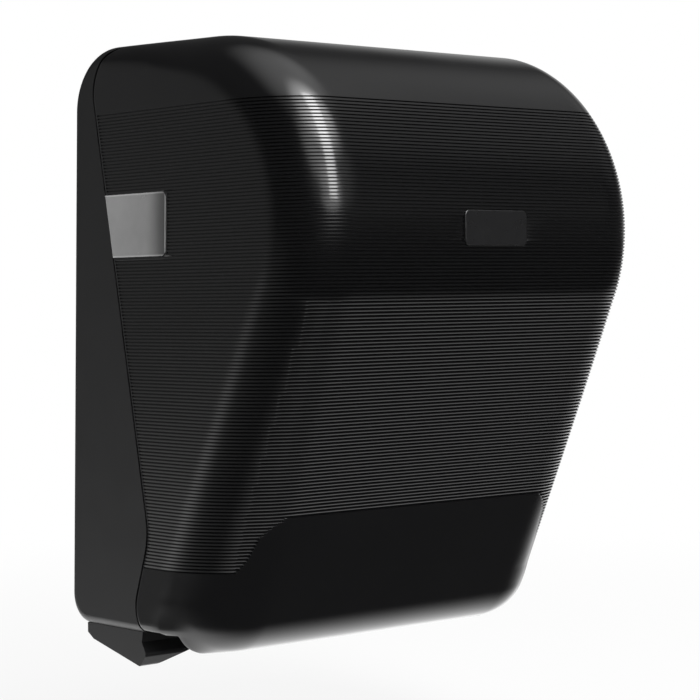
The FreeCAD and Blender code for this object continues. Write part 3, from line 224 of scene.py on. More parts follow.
def half_width(z):
    """Half the cover's width at a height."""
    return HALF_WIDTH - SIDE_DRAFT * z


def front_y(z):
    """The front of the profile in the middle of the cover."""
    if z > FRONT_Z:
        return DOME_Y - math.sqrt(max(DOME_R ** 2 - (z - DOME_Z) ** 2, 0.0))
    if z > TOE_ARC_Z:
        return DOME_Y - DOME_R / math.cos(LEAN) - (z - DOME_Z) * math.tan(LEAN)
    return TOE_Y - math.sqrt(max(TOE_R ** 2 - (z - TOE_Z) ** 2, 0.0))


def side_x(y, z):
    """Half width of the outer surface at points (y, z) of its side and long corner."""
    dy, dz = y - DOME_Y, z - DOME_Z
    angle = np.arctan2(dz, -dy)
    on_top = (dy > 0) & (dz > 0)
    on_dome = ~on_top & (angle > -LEAN)
    lean_depth = DOME_R + dy * math.cos(LEAN) + dz * math.sin(LEAN)
    lean_s = PLANE_S + dy * math.sin(LEAN) - dz * math.cos(LEAN)
    depth = np.where(on_top, TOP_Z - z, np.where(on_dome, DOME_R - np.hypot(dy, dz), lean_depth))
    s = np.where(on_top, TOP_START_Y - y, np.where(on_dome, DOME_S + DOME_R * (math.pi / 2 - angle), lean_s))
    r = np.interp(s, EDGE_S, EDGE_R)
    d = np.clip(depth, 0, r)
    return half_width(z) - r + np.sqrt(d * (2 * r - d))


def toe_x(y, z):
    """Half width below the level where the sides curve in to the toe. At the seam they curve in later."""
    fall = np.clip(TOE_Z - z, 0, TOE_R)
    toe_side = half_width(TOE_Z) - TOE_R + np.sqrt(TOE_R ** 2 - fall ** 2)
    sill_fall = np.clip(CHEEK_Z + SILL_R - z, 0, SILL_R)
    sill_side = half_width(z) - SILL_R + np.sqrt(SILL_R ** 2 - sill_fall ** 2)
    blend = np.clip((CHEEK_BLEND_Y[0] - y) / (CHEEK_BLEND_Y[0] - CHEEK_BLEND_Y[1]), 0, 1)
    side = sill_side + (toe_side - sill_side) * blend * blend * (3 - 2 * blend)
    front = np.array([front_y(v) for v in z])
    flat = half_width(TOE_Z) - TOE_EDGE_R
    reach = TOE_EDGE_R / math.cos(LEAN) - (front - front_y(TOE_Z))
    share = np.clip((front + reach - y) / reach, 0, 1)
    return flat + (side - flat) * np.sqrt(1 - share ** 2)


def skin_x(y, z):
    """Half width of the outer surface at points (y, z)."""
    y, z = np.asarray(y, float), np.asarray(z, float)
    return np.where(z < TOE_Z, toe_x(y, z), side_x(y, z))


# Seam between cover and chassis, seen from the side. The cover stands back from it by SEAM_SHY.
SEAM_LEAN, SEAM_RETURN, SEAM_SHY = math.radians(12.85), math.radians(17.7), 0.35
SEAM_TOP_Y, SEAM_TOP_Z = -44.0 - SEAM_SHY, 182.58
CROWN_Y, CROWN_Z, CROWN_R, CROWN_BASE_Z = -48.73, 156.0, 27.0, 150.0
HIGH_Y, HIGH_Z = -24.0, 143.0
WAIST_Y, WAIST_Z, WAIST_R, WAIST_TOP_Z, WAIST_BASE_Z = -40.97, -111.25, 40.0, -102.35, -123.4
HINGE_Y, HINGE_Z, LOBE_R, LOBE_TOP_Y, LOBE_TOP_Z = -90.0, -155.0, 20.0, -70.947, -148.92


def seam_y(z):
    """The cover's edge at the seam at a height: crown, lean, waist, return and the lobe round the hinge."""
    if z > CROWN_BASE_Z:
        y = CROWN_Y + math.sqrt(CROWN_R ** 2 - (z - CROWN_Z) ** 2)
    elif z > WAIST_TOP_Z:
        y = HIGH_Y - (HIGH_Z - z) * math.tan(SEAM_LEAN)
    elif z > WAIST_BASE_Z:
        y = WAIST_Y - math.sqrt(WAIST_R ** 2 - (z - WAIST_Z) ** 2)
    elif z > LOBE_TOP_Z:
        y = LOBE_TOP_Y - (z - LOBE_TOP_Z) * math.tan(SEAM_RETURN)
    else:
        y = HINGE_Y + math.sqrt(LOBE_R ** 2 - (z - HINGE_Z) ** 2)
    return y - SEAM_SHY


# Windows, plate, lock and smooth patch, in millimetres

WINDOW_TOP, WINDOW_BASE, WINDOW_Y, WINDOW_R = 93.04, 54.28, -98.0, 4.0
# How far behind its front edge the smoked pane's painted shade of the deep bay lifts and its painted light of the lit
# bay grows pale, and where the painted highlight lines on its edges fade
WINDOW_SHADE_RUN, WINDOW_LIT_RUN, LEVEL_HIGHLIGHT, FRONT_HIGHLIGHT = 22.0, 56.0, (1.5, 0.8), (0.4, 1.3)
PLATE_X, PLATE_Z, PLATE_HALF_X, PLATE_HALF_Z, PLATE_R = 4.0, 68.2, 25.7, 10.6, 3.7
PLATE_FLOOR, PLATE_FRONT, PLATE_GAP = -228.7, -230.3, 0.2
LOCK_Y, LOCK_BORE, LOCK_FIELD_X = -57.0, 7.05, 12.0
LOCK_FIELD_BACK, LOCK_FIELD_FRONT = -45.0, -69.0
# The patch's edge runs down through these heights and half widths
PATCH_TOP = -99.6
PATCH_Z = (-133.0, -126.0, -111.0, -104.0, -100.0)
PATCH_X = (126.0, 121.4, 118.0, 112.0, 105.0)
BOSS_X, BOSS_R, BOSS_BORE = (130.0, 143.0), 8.0, 3.05

# Ribs: stations of one rib as shares of the pitch from its groove's middle, and the surface's depth there
RIB_STATIONS = (0.5, 0.23, 0.18, -0.18, -0.23)
GROOVE_SHARE = {0.5: 0.19, 0.23: 0.46, 0.18: 1.0, 0.0: 1.0, -0.18: 1.0, -0.23: 0.0}
# Slope of the ribs by the surface's rise and by height: full on the leaning front only
TILT_RISES, TILT_SHARES = (-0.36, -0.24, 0.0, 0.1), (1.0, 0.42, 0.42, 0.08)
TILT_HEIGHTS, TILT_DOME = (FRONT_Z, FRONT_Z + 9.0), (1.0, 0.4)
# How matt the groove floors are, and how much painted shade they get, by the surface's rise
GROOVE_RISES, GROOVE_MATT_AND_SHADE = (-0.22, -0.02, 0.3), (1.0, 0.5, 0.7)
# From a free edge of the cover: its plain rim, where a groove is at its full depth, and the next column
RIM, GROOVE_END, NEXT_COLUMN, WINDOW_RIM, RIM_EASE = 1.1, 1.8, 2.3, 0.8, 0.35

# Grid of the cover: rows run from the left seam over the front to the right seam

LEAD_CELLS, WINDOW_CELLS, CORNER_CELLS, PATCH_CELL = 9, 5, 36, 30
LOCK_ROWS, TOP_ROWS, DOME_ROWS, STRIP_ROWS, CHEEK_ROWS, TOE_ROWS = 11, 17, 37, 7, 13, 15
# The corner's columns begin at CORNER_Y, further back below CORNER_LOW_Z, after LEAD_RUN of even columns
CORNER_Y, LEAD_RUN = -104.0, 10.0
CORNER_LOW_Z, CORNER_LOW_RUN, CORNER_LOW_SHIFT = -130.0, 41.0, 3.0
LEAD_LIMITS, LEAD_MIDDLE, RUN_SHARES = (0.2, 0.3, 0.4), 0.6, (0.11, 0.18, 0.59)
# One pair of columns closes in on the patch's edge over this run of height
PAIR_TOP, PAIR_RUN, PAIR_HALF = -84.0, 14.0, 0.12
CORNER_STEPS = (0.0, 0.2, 0.6, 1.3, 2.3, 3.7)
FRONT_COLUMNS = sorted(
    [PLATE_X - PLATE_HALF_X + v for v in CORNER_STEPS] + [PLATE_X + PLATE_HALF_X - v for v in CORNER_STEPS]
    + [-90, -62, -48, -36, -28, -LOCK_FIELD_X, -6, 0, 6, LOCK_FIELD_X, 19, 36, 48, 62, 90])
SIDE_COLUMNS = LEAD_CELLS + CORNER_CELLS + 1
SIDE_EXTRA = (1 / 3, 2 / 3)
# Points that measure along the seam and along a row, and rows from the lock on that the inner skin follows
SEAM_POINTS, ROW_POINTS, INNER_TOP_ROWS = 400, 260, 36
CLOSE, SHARP = 0.01, math.radians(58)


def window_start(z):
    """Where the cover begins in front of the window, with the window's rounded corners."""
    near = min(WINDOW_TOP - z, z - WINDOW_BASE, WINDOW_R)
    return WINDOW_Y + WINDOW_R - math.sqrt(WINDOW_R ** 2 - (WINDOW_R - near) ** 2)


def fan_rows(first_level):
    """Rows above the ribs, which fan out from the seam's crown to the top and the dome."""
    ends = [(SEAM_TOP_Y, TOP_Z)]
    ends += [(y, TOP_Z) for y in np.linspace(LOCK_FIELD_BACK, LOCK_FIELD_FRONT, LOCK_ROWS)]
    ends += [(y, TOP_Z) for y in np.linspace(LOCK_FIELD_FRONT, DOME_Y, TOP_ROWS)[1:]]
    last = math.asin((first_level - DOME_Z) / DOME_R)
    for a in np.linspace(math.pi / 2, last, DOME_ROWS)[1:]:
        ends.append((DOME_Y - DOME_R * math.cos(a), DOME_Z + DOME_R * math.sin(a)))
    along = np.cumsum([0] + [math.dist(a, b) for a, b in zip(ends, ends[1:])])
    heights = np.linspace(SEAM_TOP_Z, first_level, SEAM_POINTS)
    seam = np.array([(seam_y(h), h) for h in heights])
    run = np.concatenate([[0], np.cumsum(np.hypot(*np.diff(seam, axis=0).T))])
    rows = []
    for end, at in zip(ends[:-1], along[:-1]):
        place = (at / along[-1]) ** 2 * run[-1]
        start = (np.interp(place, run, seam[:, 0]), np.interp(place, run, seam[:, 1]))
        rows.append({"band": "fan", "start": start, "end": end, "u": None})
    rows[0]["start"] = (SEAM_TOP_Y, SEAM_TOP_Z)
    return rows


def level_rows(sizes):
    """Rows at one height each: the ribs and the smooth strip below them, then the toe."""
    heights = []
    for i in range(sizes.rib_count):
        centre = round(sizes.rib_top - sizes.rib_pitch * i, 4)
        stations = list(RIB_STATIONS)
        if centre in (WINDOW_TOP, WINDOW_BASE):
            stations.insert(3, 0.0)
        heights += [(centre + u * sizes.rib_pitch, u) for u in stations]
    low = heights[-1][0]
    heights += [(z, None) for z in np.linspace(low, TOE_Z, STRIP_ROWS)[1:]]
    heights += [(z, None) for z in np.linspace(TOE_Z, CHEEK_Z, CHEEK_ROWS)[1:]]
    rows = [{"band": "level", "start": (seam_y(z), z), "end": (front_y(z), z), "u": u} for z, u in heights]
    first = math.asin((TOE_Z - CHEEK_Z) / TOE_R)
    for a in np.linspace(first, math.pi / 2, TOE_ROWS)[1:]:
        z = TOE_Z - TOE_R * math.sin(a)
        rows.append({"band": "toe", "start": (MOUTH_Y, z), "end": (front_y(z), z), "u": None})
    return rows


def patch_edge(z, sizes):
    """Half width of the smooth patch at a height, the same for all rows of a rib: its groove ends square."""
    centre = sizes.rib_top - sizes.rib_pitch * round((sizes.rib_top - z) / sizes.rib_pitch)
    return np.interp(centre, PATCH_Z, PATCH_X)


def corner_shares(row, spots, lengths, sizes):
    """Where the corner's columns stand, as shares of its length. One pair follows the smooth patch's edge."""
    z = row["end"][1]
    if z > PAIR_TOP or z < TOE_Z:
        return np.linspace(0, 1, CORNER_CELLS + 1)
    total = lengths[-1]
    edge = np.interp(-patch_edge(z, sizes), -spots, lengths) / total
    home, half = (PATCH_CELL + 0.5) / CORNER_CELLS, 0.5 / CORNER_CELLS
    blend = min(1.0, (PAIR_TOP - z) / PAIR_RUN, (z - TOE_Z) / PAIR_RUN)
    centre = home + (edge - home) * blend
    half += (PAIR_HALF / total - half) * blend
    return np.concatenate([np.linspace(0, centre - half, PATCH_CELL + 1),
                           np.linspace(centre + half, 1, CORNER_CELLS - PATCH_CELL)])


def row_half(row, level_run, sizes):
    """Points (y, z) of a row's right half from the seam to the flat of the front, None where it is open."""
    (sy, sz), (ty, tz) = row["start"], row["end"]
    if row["band"] == "toe":
        m, corner = 0.0, 0.0
    elif row["band"] == "fan":
        m, corner = level_run
    else:
        front = CORNER_Y + CORNER_LOW_SHIFT * max(CORNER_LOW_Z - sz, 0.0) / CORNER_LOW_RUN
        m, corner = (front + LEAD_RUN - sy) / (ty - sy), (front - sy) / (ty - sy)
    length = math.dist(row["start"], row["end"])
    from_edge = [v / length for v in (RIM, GROOVE_END, NEXT_COLUMN)]
    if row["band"] == "toe":
        lead = [None] * LEAD_CELLS
    elif row["band"] == "level" and WINDOW_BASE + CLOSE < sz < WINDOW_TOP - CLOSE:
        begin = (window_start(sz) - sy) / (ty - sy)
        lead = [None] * WINDOW_CELLS + [begin] + [begin + v for v in from_edge]
    else:
        lead = [0.0] + [min(v, limit * m) for v, limit in zip(from_edge, LEAD_LIMITS)] + [LEAD_MIDDLE * m, m]
        lead += [m + (corner - m) * v for v in RUN_SHARES]
    points = [None if v is None else (sy + v * (ty - sy), sz + v * (tz - sz)) for v in lead]
    w = np.linspace(0, 1, ROW_POINTS)
    spread = corner + (1 - corner) * (1 - (1 - w) ** 2)
    ys, zs = sy + spread * (ty - sy), sz + spread * (tz - sz)
    xs = skin_x(ys, zs)
    steps = np.linalg.norm(np.diff([xs, ys, zs]), axis=0)
    lengths = np.concatenate([[0], np.cumsum(steps)])
    at = np.interp(corner_shares(row, xs, lengths, sizes) * lengths[-1], lengths, w)
    spread = corner + (1 - corner) * (1 - (1 - at) ** 2)
    return points + list(zip(sy + spread * (ty - sy), sz + spread * (tz - sz)))


def cover_grid(rows, level_run, sizes):
    """Ids of the vertices by row and column, -1 where the cover is open, and the vertices."""
    width = 2 * (SIDE_COLUMNS + len(SIDE_EXTRA)) + len(FRONT_COLUMNS)
    ids = -np.ones((len(rows), width), int)
    points = []
    for r, row in enumerate(rows):
        half = row_half(row, level_run, sizes)
        known = np.array([p for p in half if p is not None])
        xs = iter(skin_x(known[:, 0], known[:, 1]))
        right = [None if p is None else (next(xs), p[0], p[1]) for p in half]
        last = FRONT_COLUMNS[-1]
        extra = [last + (right[-1][0] - last) * v for v in SIDE_EXTRA]
        ty, tz = row["end"]
        middle = [(x, ty, tz) for x in [-x for x in extra[::-1]] + FRONT_COLUMNS + extra]
        left = [None if p is None else (-p[0], p[1], p[2]) for p in right]
        for c, p in enumerate(left + middle + right[::-1]):
            if p is not None:
                ids[r, c] = len(points)
                points.append(p)
    return ids, np.array(points)


def in_plate(x, z):
    """True inside the rounded outline of the recess for the front plate."""
    dx = abs(x - PLATE_X) - (PLATE_HALF_X - PLATE_R)
    dz = abs(z - PLATE_Z) - (PLATE_HALF_Z - PLATE_R)
    return math.hypot(max(dx, 0), max(dz, 0)) <= PLATE_R + 1e-6


def groove_share(u, x, y, z, rise, on_border, sizes):
    """Depth below the plain surface at a vertex, as a share of the full depth. Each rib slopes in towards its
    lower edge, most on the leaning front and least on the dome."""
    beside_window = WINDOW_BASE - RIM < z < WINDOW_TOP + RIM and y > WINDOW_Y - WINDOW_RIM
    on_patch = z < PATCH_TOP and abs(x) < patch_edge(z, sizes)
    if u is None or on_border or beside_window or on_patch:
        return 0.0
    share = GROOVE_SHARE[u]
    if share == 1.0:
        return share
    return share * min(np.interp(rise, TILT_RISES, TILT_SHARES), np.interp(z, TILT_HEIGHTS, TILT_DOME))


def mesh_of(name, points, faces):
    """A smooth-shaded mesh from points in millimetres, with its sharp edges marked."""
    made = bpy.data.meshes.new(name)
    made.from_pydata((np.asarray(points, float) * MM).tolist(), [], faces)
    made.validate()
    made.shade_smooth()
    made.set_sharp_from_angle(angle=SHARP)
    made.update()
    return made


def add_piece(name, mesh, body, slot, replaces):
    """An object for a mesh that rides on a body and stands for CAD nodes."""
    piece = bpy.data.objects.new(name, mesh)
    bpy.context.scene.collection.objects.link(piece)
    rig.ride(piece, body)
    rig.replaces(piece, *replaces)
    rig.slot(piece, slot)


def vertex_normals(points, faces):
    """Unit normals at the vertices of a grid, averaged from its faces."""
    points = np.asarray(points)
    quads = np.array(faces)
    across = points[quads[:, 2]] - points[quads[:, 0]]
    down = points[quads[:, 3]] - points[quads[:, 1]]
    normals = np.zeros_like(points)
    face = np.cross(across, down)
    face /= np.maximum(np.linalg.norm(face, axis=1), 1e-12)[:, None]
    for k in range(4):
        np.add.at(normals, quads[:, k], face)
    return normals / np.maximum(np.linalg.norm(normals, axis=1), 1e-12)[:, None]


def tube(points, faces, x0, x1, y, z, outer, inner, steps=32):
    """A short tube along X, open at x1 where it runs into the wall."""
    start = len(points)
    for x, r in ((x1, outer), (x0, outer), (x0, inner), (x1, inner)):
        for i in range(steps):
            a = 2 * math.pi * i / steps
            points.append((x, y + r * math.cos(a), z + r * math.sin(a)))
    turn = 1 if x1 > x0 else -1
    for ring in range(3):
        for i in range(steps):
            a, b = start + ring * steps + i, start + ring * steps + (i + 1) % steps
            faces.append((a, b, b + steps, a + steps)[::turn])


def grooved_skin(rows, ids, points, normals, sizes):
    """The outer skin with its grooves, eased rims and flat plate recess, and how matt each vertex is, which also sets
    the painted shade of its groove floor.
    """
    outer = points.copy()
    matt = np.zeros(len(points))
    for r, row in enumerate(rows):
        present = np.nonzero(ids[r] >= 0)[0]
        for c in present:
            i = ids[r, c]
            x, y, z = points[i]
            border = min(c - present[0], present[-1] - c) < 2
            share = groove_share(row["u"], x, y, z, normals[i][2], border, sizes)
            outer[i] -= normals[i] * sizes.rib_depth * share
            # A groove floor's matt value also sets its painted shade, most on the leaning front
            if share == 1.0:
                matt[i] = np.interp(normals[i][2], GROOVE_RISES, GROOVE_MATT_AND_SHADE)
            if c in (present[0], present[-1]):
                outer[i] -= normals[i] * RIM_EASE
            if y < PLATE_FLOOR + 1 and in_plate(x, z):
                outer[i] = (x, PLATE_FLOOR, z)
    return outer, matt


def inner_lines(rows, width, field_rows, field_columns):
    """Rows and columns of the grid that the inner skin keeps: every third or fourth, and all borders."""
    count = len(rows)
    ribs = [r for r in range(count) if rows[r]["u"] == 0.0 or (rows[r]["u"] == 0.5 and r % 4 == 0)]
    strip = [r for r in range(1, count - 1, 2) if rows[r]["u"] is None and rows[r]["start"][1] < 0]
    turns = [r for r in range(count - 1) if rows[r]["band"] != rows[r + 1]["band"]]
    keep_rows = {0, count - 1, *field_rows[::2], field_rows[-1], *ribs, *strip, *turns,
                 *range(0, field_rows[-1] + INNER_TOP_ROWS, 3)}
    marks = [0, 3, WINDOW_CELLS, LEAD_CELLS, *range(LEAD_CELLS + 4, SIDE_COLUMNS, 4), SIDE_COLUMNS - 1]
    keep_columns = {*marks, *[width - 1 - c for c in marks], *range(field_columns[0], field_columns[1] + 1)}
    return sorted(keep_rows), sorted(keep_columns)


def grid_path(a, b):
    """The grid's cells from one spot to another in the same row or column."""
    steps = max(abs(b[0] - a[0]), abs(b[1] - a[1]))
    return [(a[0] + (b[0] - a[0]) * k // steps, a[1] + (b[1] - a[1]) * k // steps) for k in range(steps + 1)]


def build_cover_mesh(sizes):
    """Ribbed outer skin, inner skin, rims, lock hole, plate recess and hinge bosses of the cover."""
    first_level = sizes.rib_top + RIB_STATIONS[0] * sizes.rib_pitch
    run = front_y(first_level) - seam_y(first_level)
    level_run = [(y - seam_y(first_level)) / run for y in (CORNER_Y + LEAD_RUN, CORNER_Y)]
    rows = fan_rows(first_level) + level_rows(sizes)
    ids, points = cover_grid(rows, level_run, sizes)
    count, width = ids.shape
    heights = [row["start"][1] for row in rows]
    field_rows = [i for i, (y, z) in enumerate(row["end"] for row in rows) if z > TOP_Z - CLOSE
                  and LOCK_FIELD_FRONT - CLOSE <= y <= LOCK_FIELD_BACK + CLOSE]
    field_columns = [SIDE_COLUMNS + len(SIDE_EXTRA) + FRONT_COLUMNS.index(x)
                     for x in (-LOCK_FIELD_X, LOCK_FIELD_X)]

    def is_open(r, c):
        """True where the cell below row r and right of column c is no part of the skin."""
        lead = min(c, width - 2 - c)
        window = heights[r] <= WINDOW_TOP + CLOSE and heights[r + 1] >= WINDOW_BASE - CLOSE
        mouth = rows[r + 1]["band"] == "toe"
        lock = field_rows[0] <= r < field_rows[-1] and field_columns[0] <= c < field_columns[1]
        return (window and lead < WINDOW_CELLS) or (mouth and lead < LEAD_CELLS) or lock

    def in_field(r, c):
        """True for a vertex of the flat field round the lock or on its border."""
        return field_rows[0] <= r <= field_rows[-1] and field_columns[0] <= c <= field_columns[1]

    quads = [(ids[r, c], ids[r + 1, c], ids[r + 1, c + 1], ids[r, c + 1])
             for r in range(count - 1) for c in range(width - 1) if not is_open(r, c)]
    normals = vertex_normals(points, quads)
    outer, matt = grooved_skin(rows, ids, points, normals, sizes)
    points_all = [tuple(p) for p in outer]
    faces = [tuple(int(i) for i in q) for q in quads]
    inner_id = {}

    def inside(r, c):
        """The inner skin's vertex behind a vertex of the outer skin."""
        if (r, c) not in inner_id:
            p = points[ids[r, c]] - normals[ids[r, c]] * sizes.wall
            if r == count - 1:
                p[2] = BASE_Z + sizes.wall
            inner_id[r, c] = len(points_all)
            points_all.append(tuple(p))
        return inner_id[r, c]

    # Inner skin, with the borders of its cells that no other cell shares
    keep_rows, keep_columns = inner_lines(rows, width, field_rows, field_columns)
    borders = {}
    for r0, r1 in zip(keep_rows, keep_rows[1:]):
        for c0, c1 in zip(keep_columns, keep_columns[1:]):
            if is_open(r0, c0):
                continue
            corners = ((r0, c0), (r1, c0), (r1, c1), (r0, c1))
            faces.append(tuple(inside(*p) for p in corners[::-1]))
            for a, b in zip(corners, corners[1:] + corners[:1]):
                if borders.pop((b, a), None) is None:
                    borders[a, b] = True
    # Rims between the skins, except along the paper mouth. The borders of the lock's field wait for its hole.
    last = count - 1
    field_paths = []
    for a, b in borders:
        path = grid_path(a, b)
        if in_field(*a) and in_field(*b):
            field_paths.append(path)
        elif not a[0] == b[0] == last:
            faces.append((inside(*a), inside(*b), *[int(ids[p]) for p in path[::-1]]))
    # Flat underside of the toe, with its rim along the paper mouth
    present = [c for c in range(width) if ids[last, c] >= 0]
    first_low, last_low = present[0], present[-1]
    faces.append(tuple(int(ids[last, c]) for c in present))
    faces.append(tuple(inside(last, c) for c in keep_columns[::-1] if ids[last, c] >= 0))
    faces.append((int(ids[last, last_low]), int(ids[last, first_low]), inside(last, first_low),
                  inside(last, last_low)))
    # Round hole for the lock, from the field's edge in to the bore and down through the wall
    ring = {}
    for p in (q for path in field_paths for q in path):
        if p not in ring:
            x, y, _ = points[ids[p]]
            a = math.atan2(y - LOCK_Y, x)
            spot = (LOCK_BORE * math.cos(a), LOCK_Y + LOCK_BORE * math.sin(a))
            ring[p] = (len(points_all), len(points_all) + 1)
            points_all += [(*spot, TOP_Z), (*spot, TOP_Z - sizes.wall)]
    for path in field_paths:
        for a, b in zip(path, path[1:]):
            faces.append((int(ids[b]), int(ids[a]), ring[a][0], ring[b][0]))
            faces.append((ring[b][0], ring[a][0], ring[a][1], ring[b][1]))
        faces.append((inside(*path[0]), inside(*path[-1]), *[ring[p][1] for p in path[::-1]]))
    for side in (-1, 1):
        tube(points_all, faces, side * BOSS_X[0], side * BOSS_X[1], HINGE_Y, HINGE_Z, BOSS_R, BOSS_BORE)
    mesh = mesh_of("front_cover_shell", points_all, faces)
    # The groove attribute carries the matt groove floors and their painted shade
    groove = mesh.attributes.new("groove", "FLOAT", "POINT")
    groove.data.foreach_set("value", [*matt, *[0.0] * (len(points_all) - len(matt))])
    return mesh


# Shader nodes and surface patterns

def add(tree, kind, settings=None, links=None):
    """Adds a shader node. Settings are its attributes or its inputs' values. Links are its inputs' sources: a
    socket, or a node for its first output."""
    made = tree.nodes.new(kind)
    for name, value in (settings or {}).items():
        if isinstance(name, int) or name in made.inputs:
            made.inputs[name].default_value = value
        else:
            setattr(made, name, value)
    for name, source in (links or {}).items():
        socket = source.outputs[0] if isinstance(source, bpy.types.Node) else source
        tree.links.new(socket, made.inputs[name])
    return made


def per_mm(size):
    """Scale of a noise whose features are this many millimetres wide."""
    return 1000.0 / size


def smooth(low, high, at_low, at_high):
    """Settings of a map range: a smooth change between two values while its source goes from low to high."""
    return {"interpolation_type": "SMOOTHSTEP", "From Min": low, "From Max": high, "To Min": at_low,
            "To Max": at_high}


def new_material(name, colour, settings):
    """A material with one Principled shader, and the object's own coordinates for its patterns."""
    made = bpy.data.materials.new(name)
    made.use_nodes = True
    tree = made.node_tree
    tree.nodes.clear()
    shader = add(tree, "ShaderNodeBsdfPrincipled", {"Base Color": (*colour, 1.0), **settings})
    add(tree, "ShaderNodeOutputMaterial", {}, {"Surface": shader})
    place = add(tree, "ShaderNodeTexCoord").outputs["Object"]
    return made, tree, shader, place


def drift(tree, place, low, high, size):
    """A number that drifts between two values in patches of a size in millimetres."""
    noise = add(tree, "ShaderNodeTexNoise", {"Scale": per_mm(size), "Detail": 3.0}, {"Vector": place})
    return add(tree, "ShaderNodeMapRange", {"From Min": 0.3, "From Max": 0.7, "To Min": low, "To Max": high},
               {"Value": noise.outputs["Fac"]}).outputs[0]


def tint(tree, shader, place, colour, size, spread):
    """Lets the colour drift a little darker and lighter in soft patches."""
    noise = add(tree, "ShaderNodeTexNoise", {"Scale": per_mm(size), "Detail": 4.0}, {"Vector": place})
    darker = tuple(c * (1 - spread) for c in colour)
    lighter = tuple(min(1.0, c * (1 + spread)) for c in colour)
    mix = add(tree, "ShaderNodeMix", {"data_type": "RGBA", 6: (*darker, 1.0), 7: (*lighter, 1.0)},
              {0: noise.outputs["Fac"]})
    tree.links.new(mix.outputs[2], shader.inputs["Base Color"])


def relief(tree, shader, place, size, height, detail=2.0):
    """Raises the surface by a noise, with its size and height in millimetres."""
    noise = add(tree, "ShaderNodeTexNoise", {"Scale": per_mm(size), "Detail": detail}, {"Vector": place})
    bump = add(tree, "ShaderNodeBump", {"Distance": height * MM}, {"Height": noise.outputs["Fac"]})
    tree.links.new(bump.outputs[0], shader.inputs["Normal"])


# Materials, named for what they are and how their surface was made

def polished_black_abs(colours):
    # ABS moulded in a polished tool: deep black that mirrors the room softly, with slight moulding waves
    made, tree, shader, place = new_material("polished_black_abs", colours.cover, {"IOR": 1.54})
    tint(tree, shader, place, colours.cover, 40.0, 0.12)
    # The grooves' floors are too narrow to polish: they keep the matt face of the cut tool. Their specular is also
    # turned down, which paints shade into the grooves.
    groove = add(tree, "ShaderNodeAttribute", {"attribute_name": "groove"}).outputs["Fac"]
    # Painted shade in the grooves: their specular level drops from 0.5 to 0.1
    painted_groove_shade = add(tree, "ShaderNodeMapRange", smooth(0.2, 0.9, 0.5, 0.1), {"Value": groove})
    tree.links.new(painted_groove_shade.outputs[0], shader.inputs["Specular IOR Level"])
    matt = add(tree, "ShaderNodeMapRange", smooth(0.2, 0.9, 0.0, 0.4), {"Value": groove})
    gloss = drift(tree, place, 0.11, 0.16, 55.0)
    rough = add(tree, "ShaderNodeMath", {"operation": "ADD"}, {0: gloss, 1: matt})
    tree.links.new(rough.outputs[0], shader.inputs["Roughness"])
    relief(tree, shader, place, 60.0, 0.25, 1.0)
    return made


def textured_black_abs(colours):
    # ABS moulded in a spark-eroded tool: fine matt grain. The real grain is 0.1 mm, drawn at 0.5 mm to show.
    made, tree, shader, place = new_material("textured_black_abs", colours.chassis, {"IOR": 1.54})
    tint(tree, shader, place, colours.chassis, 25.0, 0.15)
    tree.links.new(drift(tree, place, 0.34, 0.44, 30.0), shader.inputs["Roughness"])
    relief(tree, shader, place, 0.5, 0.03)
    return made


def smoked_polycarbonate(colours):
    # Smoked polycarbonate pane, half clear. The light and shade of the bay behind it are painted into its colour:
    # painted shade towards the front, where the bay is deep, and painted light further back, where the bay is lit.
    # Painted highlight lines run along its front, top and bottom edges.
    made, tree, shader, place = new_material("smoked_polycarbonate", colours.window,
                                             {"IOR": 1.585, "Transmission Weight": 0.2})
    tree.links.new(drift(tree, place, 0.18, 0.28, 12.0), shader.inputs["Roughness"])
    spot = add(tree, "ShaderNodeSeparateXYZ", {}, {0: place}).outputs
    front, middle = WINDOW_Y * MM, (WINDOW_TOP + WINDOW_BASE) / 2 * MM
    reach, grey = (WINDOW_TOP - WINDOW_BASE) / 2 * MM, front + WINDOW_SHADE_RUN * MM
    height = add(tree, "ShaderNodeMath", {"operation": "SUBTRACT", 1: middle}, {0: spot["Z"]})
    height = add(tree, "ShaderNodeMath", {"operation": "ABSOLUTE"}, {0: height})
    # Painted shade: the pane darkens towards its front edge, where the bay is deep
    share = add(tree, "ShaderNodeMapRange", smooth(front, grey, 0.22, 0.95), {"Value": spot["Y"]})
    level_highlight_span = [reach - v * MM for v in LEVEL_HIGHLIGHT]
    front_highlight_span = [front + v * MM for v in FRONT_HIGHLIGHT]
    # Painted light of the lit bay further back, and painted highlight lines along the top, bottom and front edges
    for settings, source in ((smooth(grey, front + WINDOW_LIT_RUN * MM, 0.0, 0.15), spot["Y"]),
                             (smooth(*level_highlight_span, 0.0, 0.6), height),
                             (smooth(*front_highlight_span, 1.0, 0.0), spot["Y"])):
        part = add(tree, "ShaderNodeMapRange", settings, {"Value": source})
        share = add(tree, "ShaderNodeMath", {"operation": "ADD"}, {0: share, 1: part})
    cloud = add(tree, "ShaderNodeTexNoise", {"Scale": per_mm(20.0), "Detail": 4.0}, {"Vector": place})
    cloud = add(tree, "ShaderNodeMapRange", smooth(0.3, 0.7, 0.95, 1.05), {"Value": cloud.outputs["Fac"]})
    share = add(tree, "ShaderNodeMath", {"operation": "MULTIPLY"}, {0: share, 1: cloud})
    colour = add(tree, "ShaderNodeVectorMath", {"operation": "SCALE", 0: colours.window}, {"Scale": share})
    tree.links.new(colour.outputs[0], shader.inputs["Base Color"])
    return made


def satin_black_plate(colours):
    # Moulded ABS nameplate blank with a satin face: a shade lighter than the cover round it
    made, tree, shader, place = new_material("satin_black_plate", colours.plate, {"IOR": 1.54})
    tree.links.new(drift(tree, place, 0.26, 0.34, 6.0), shader.inputs["Roughness"])
    relief(tree, shader, place, 0.6, 0.01)
    return made


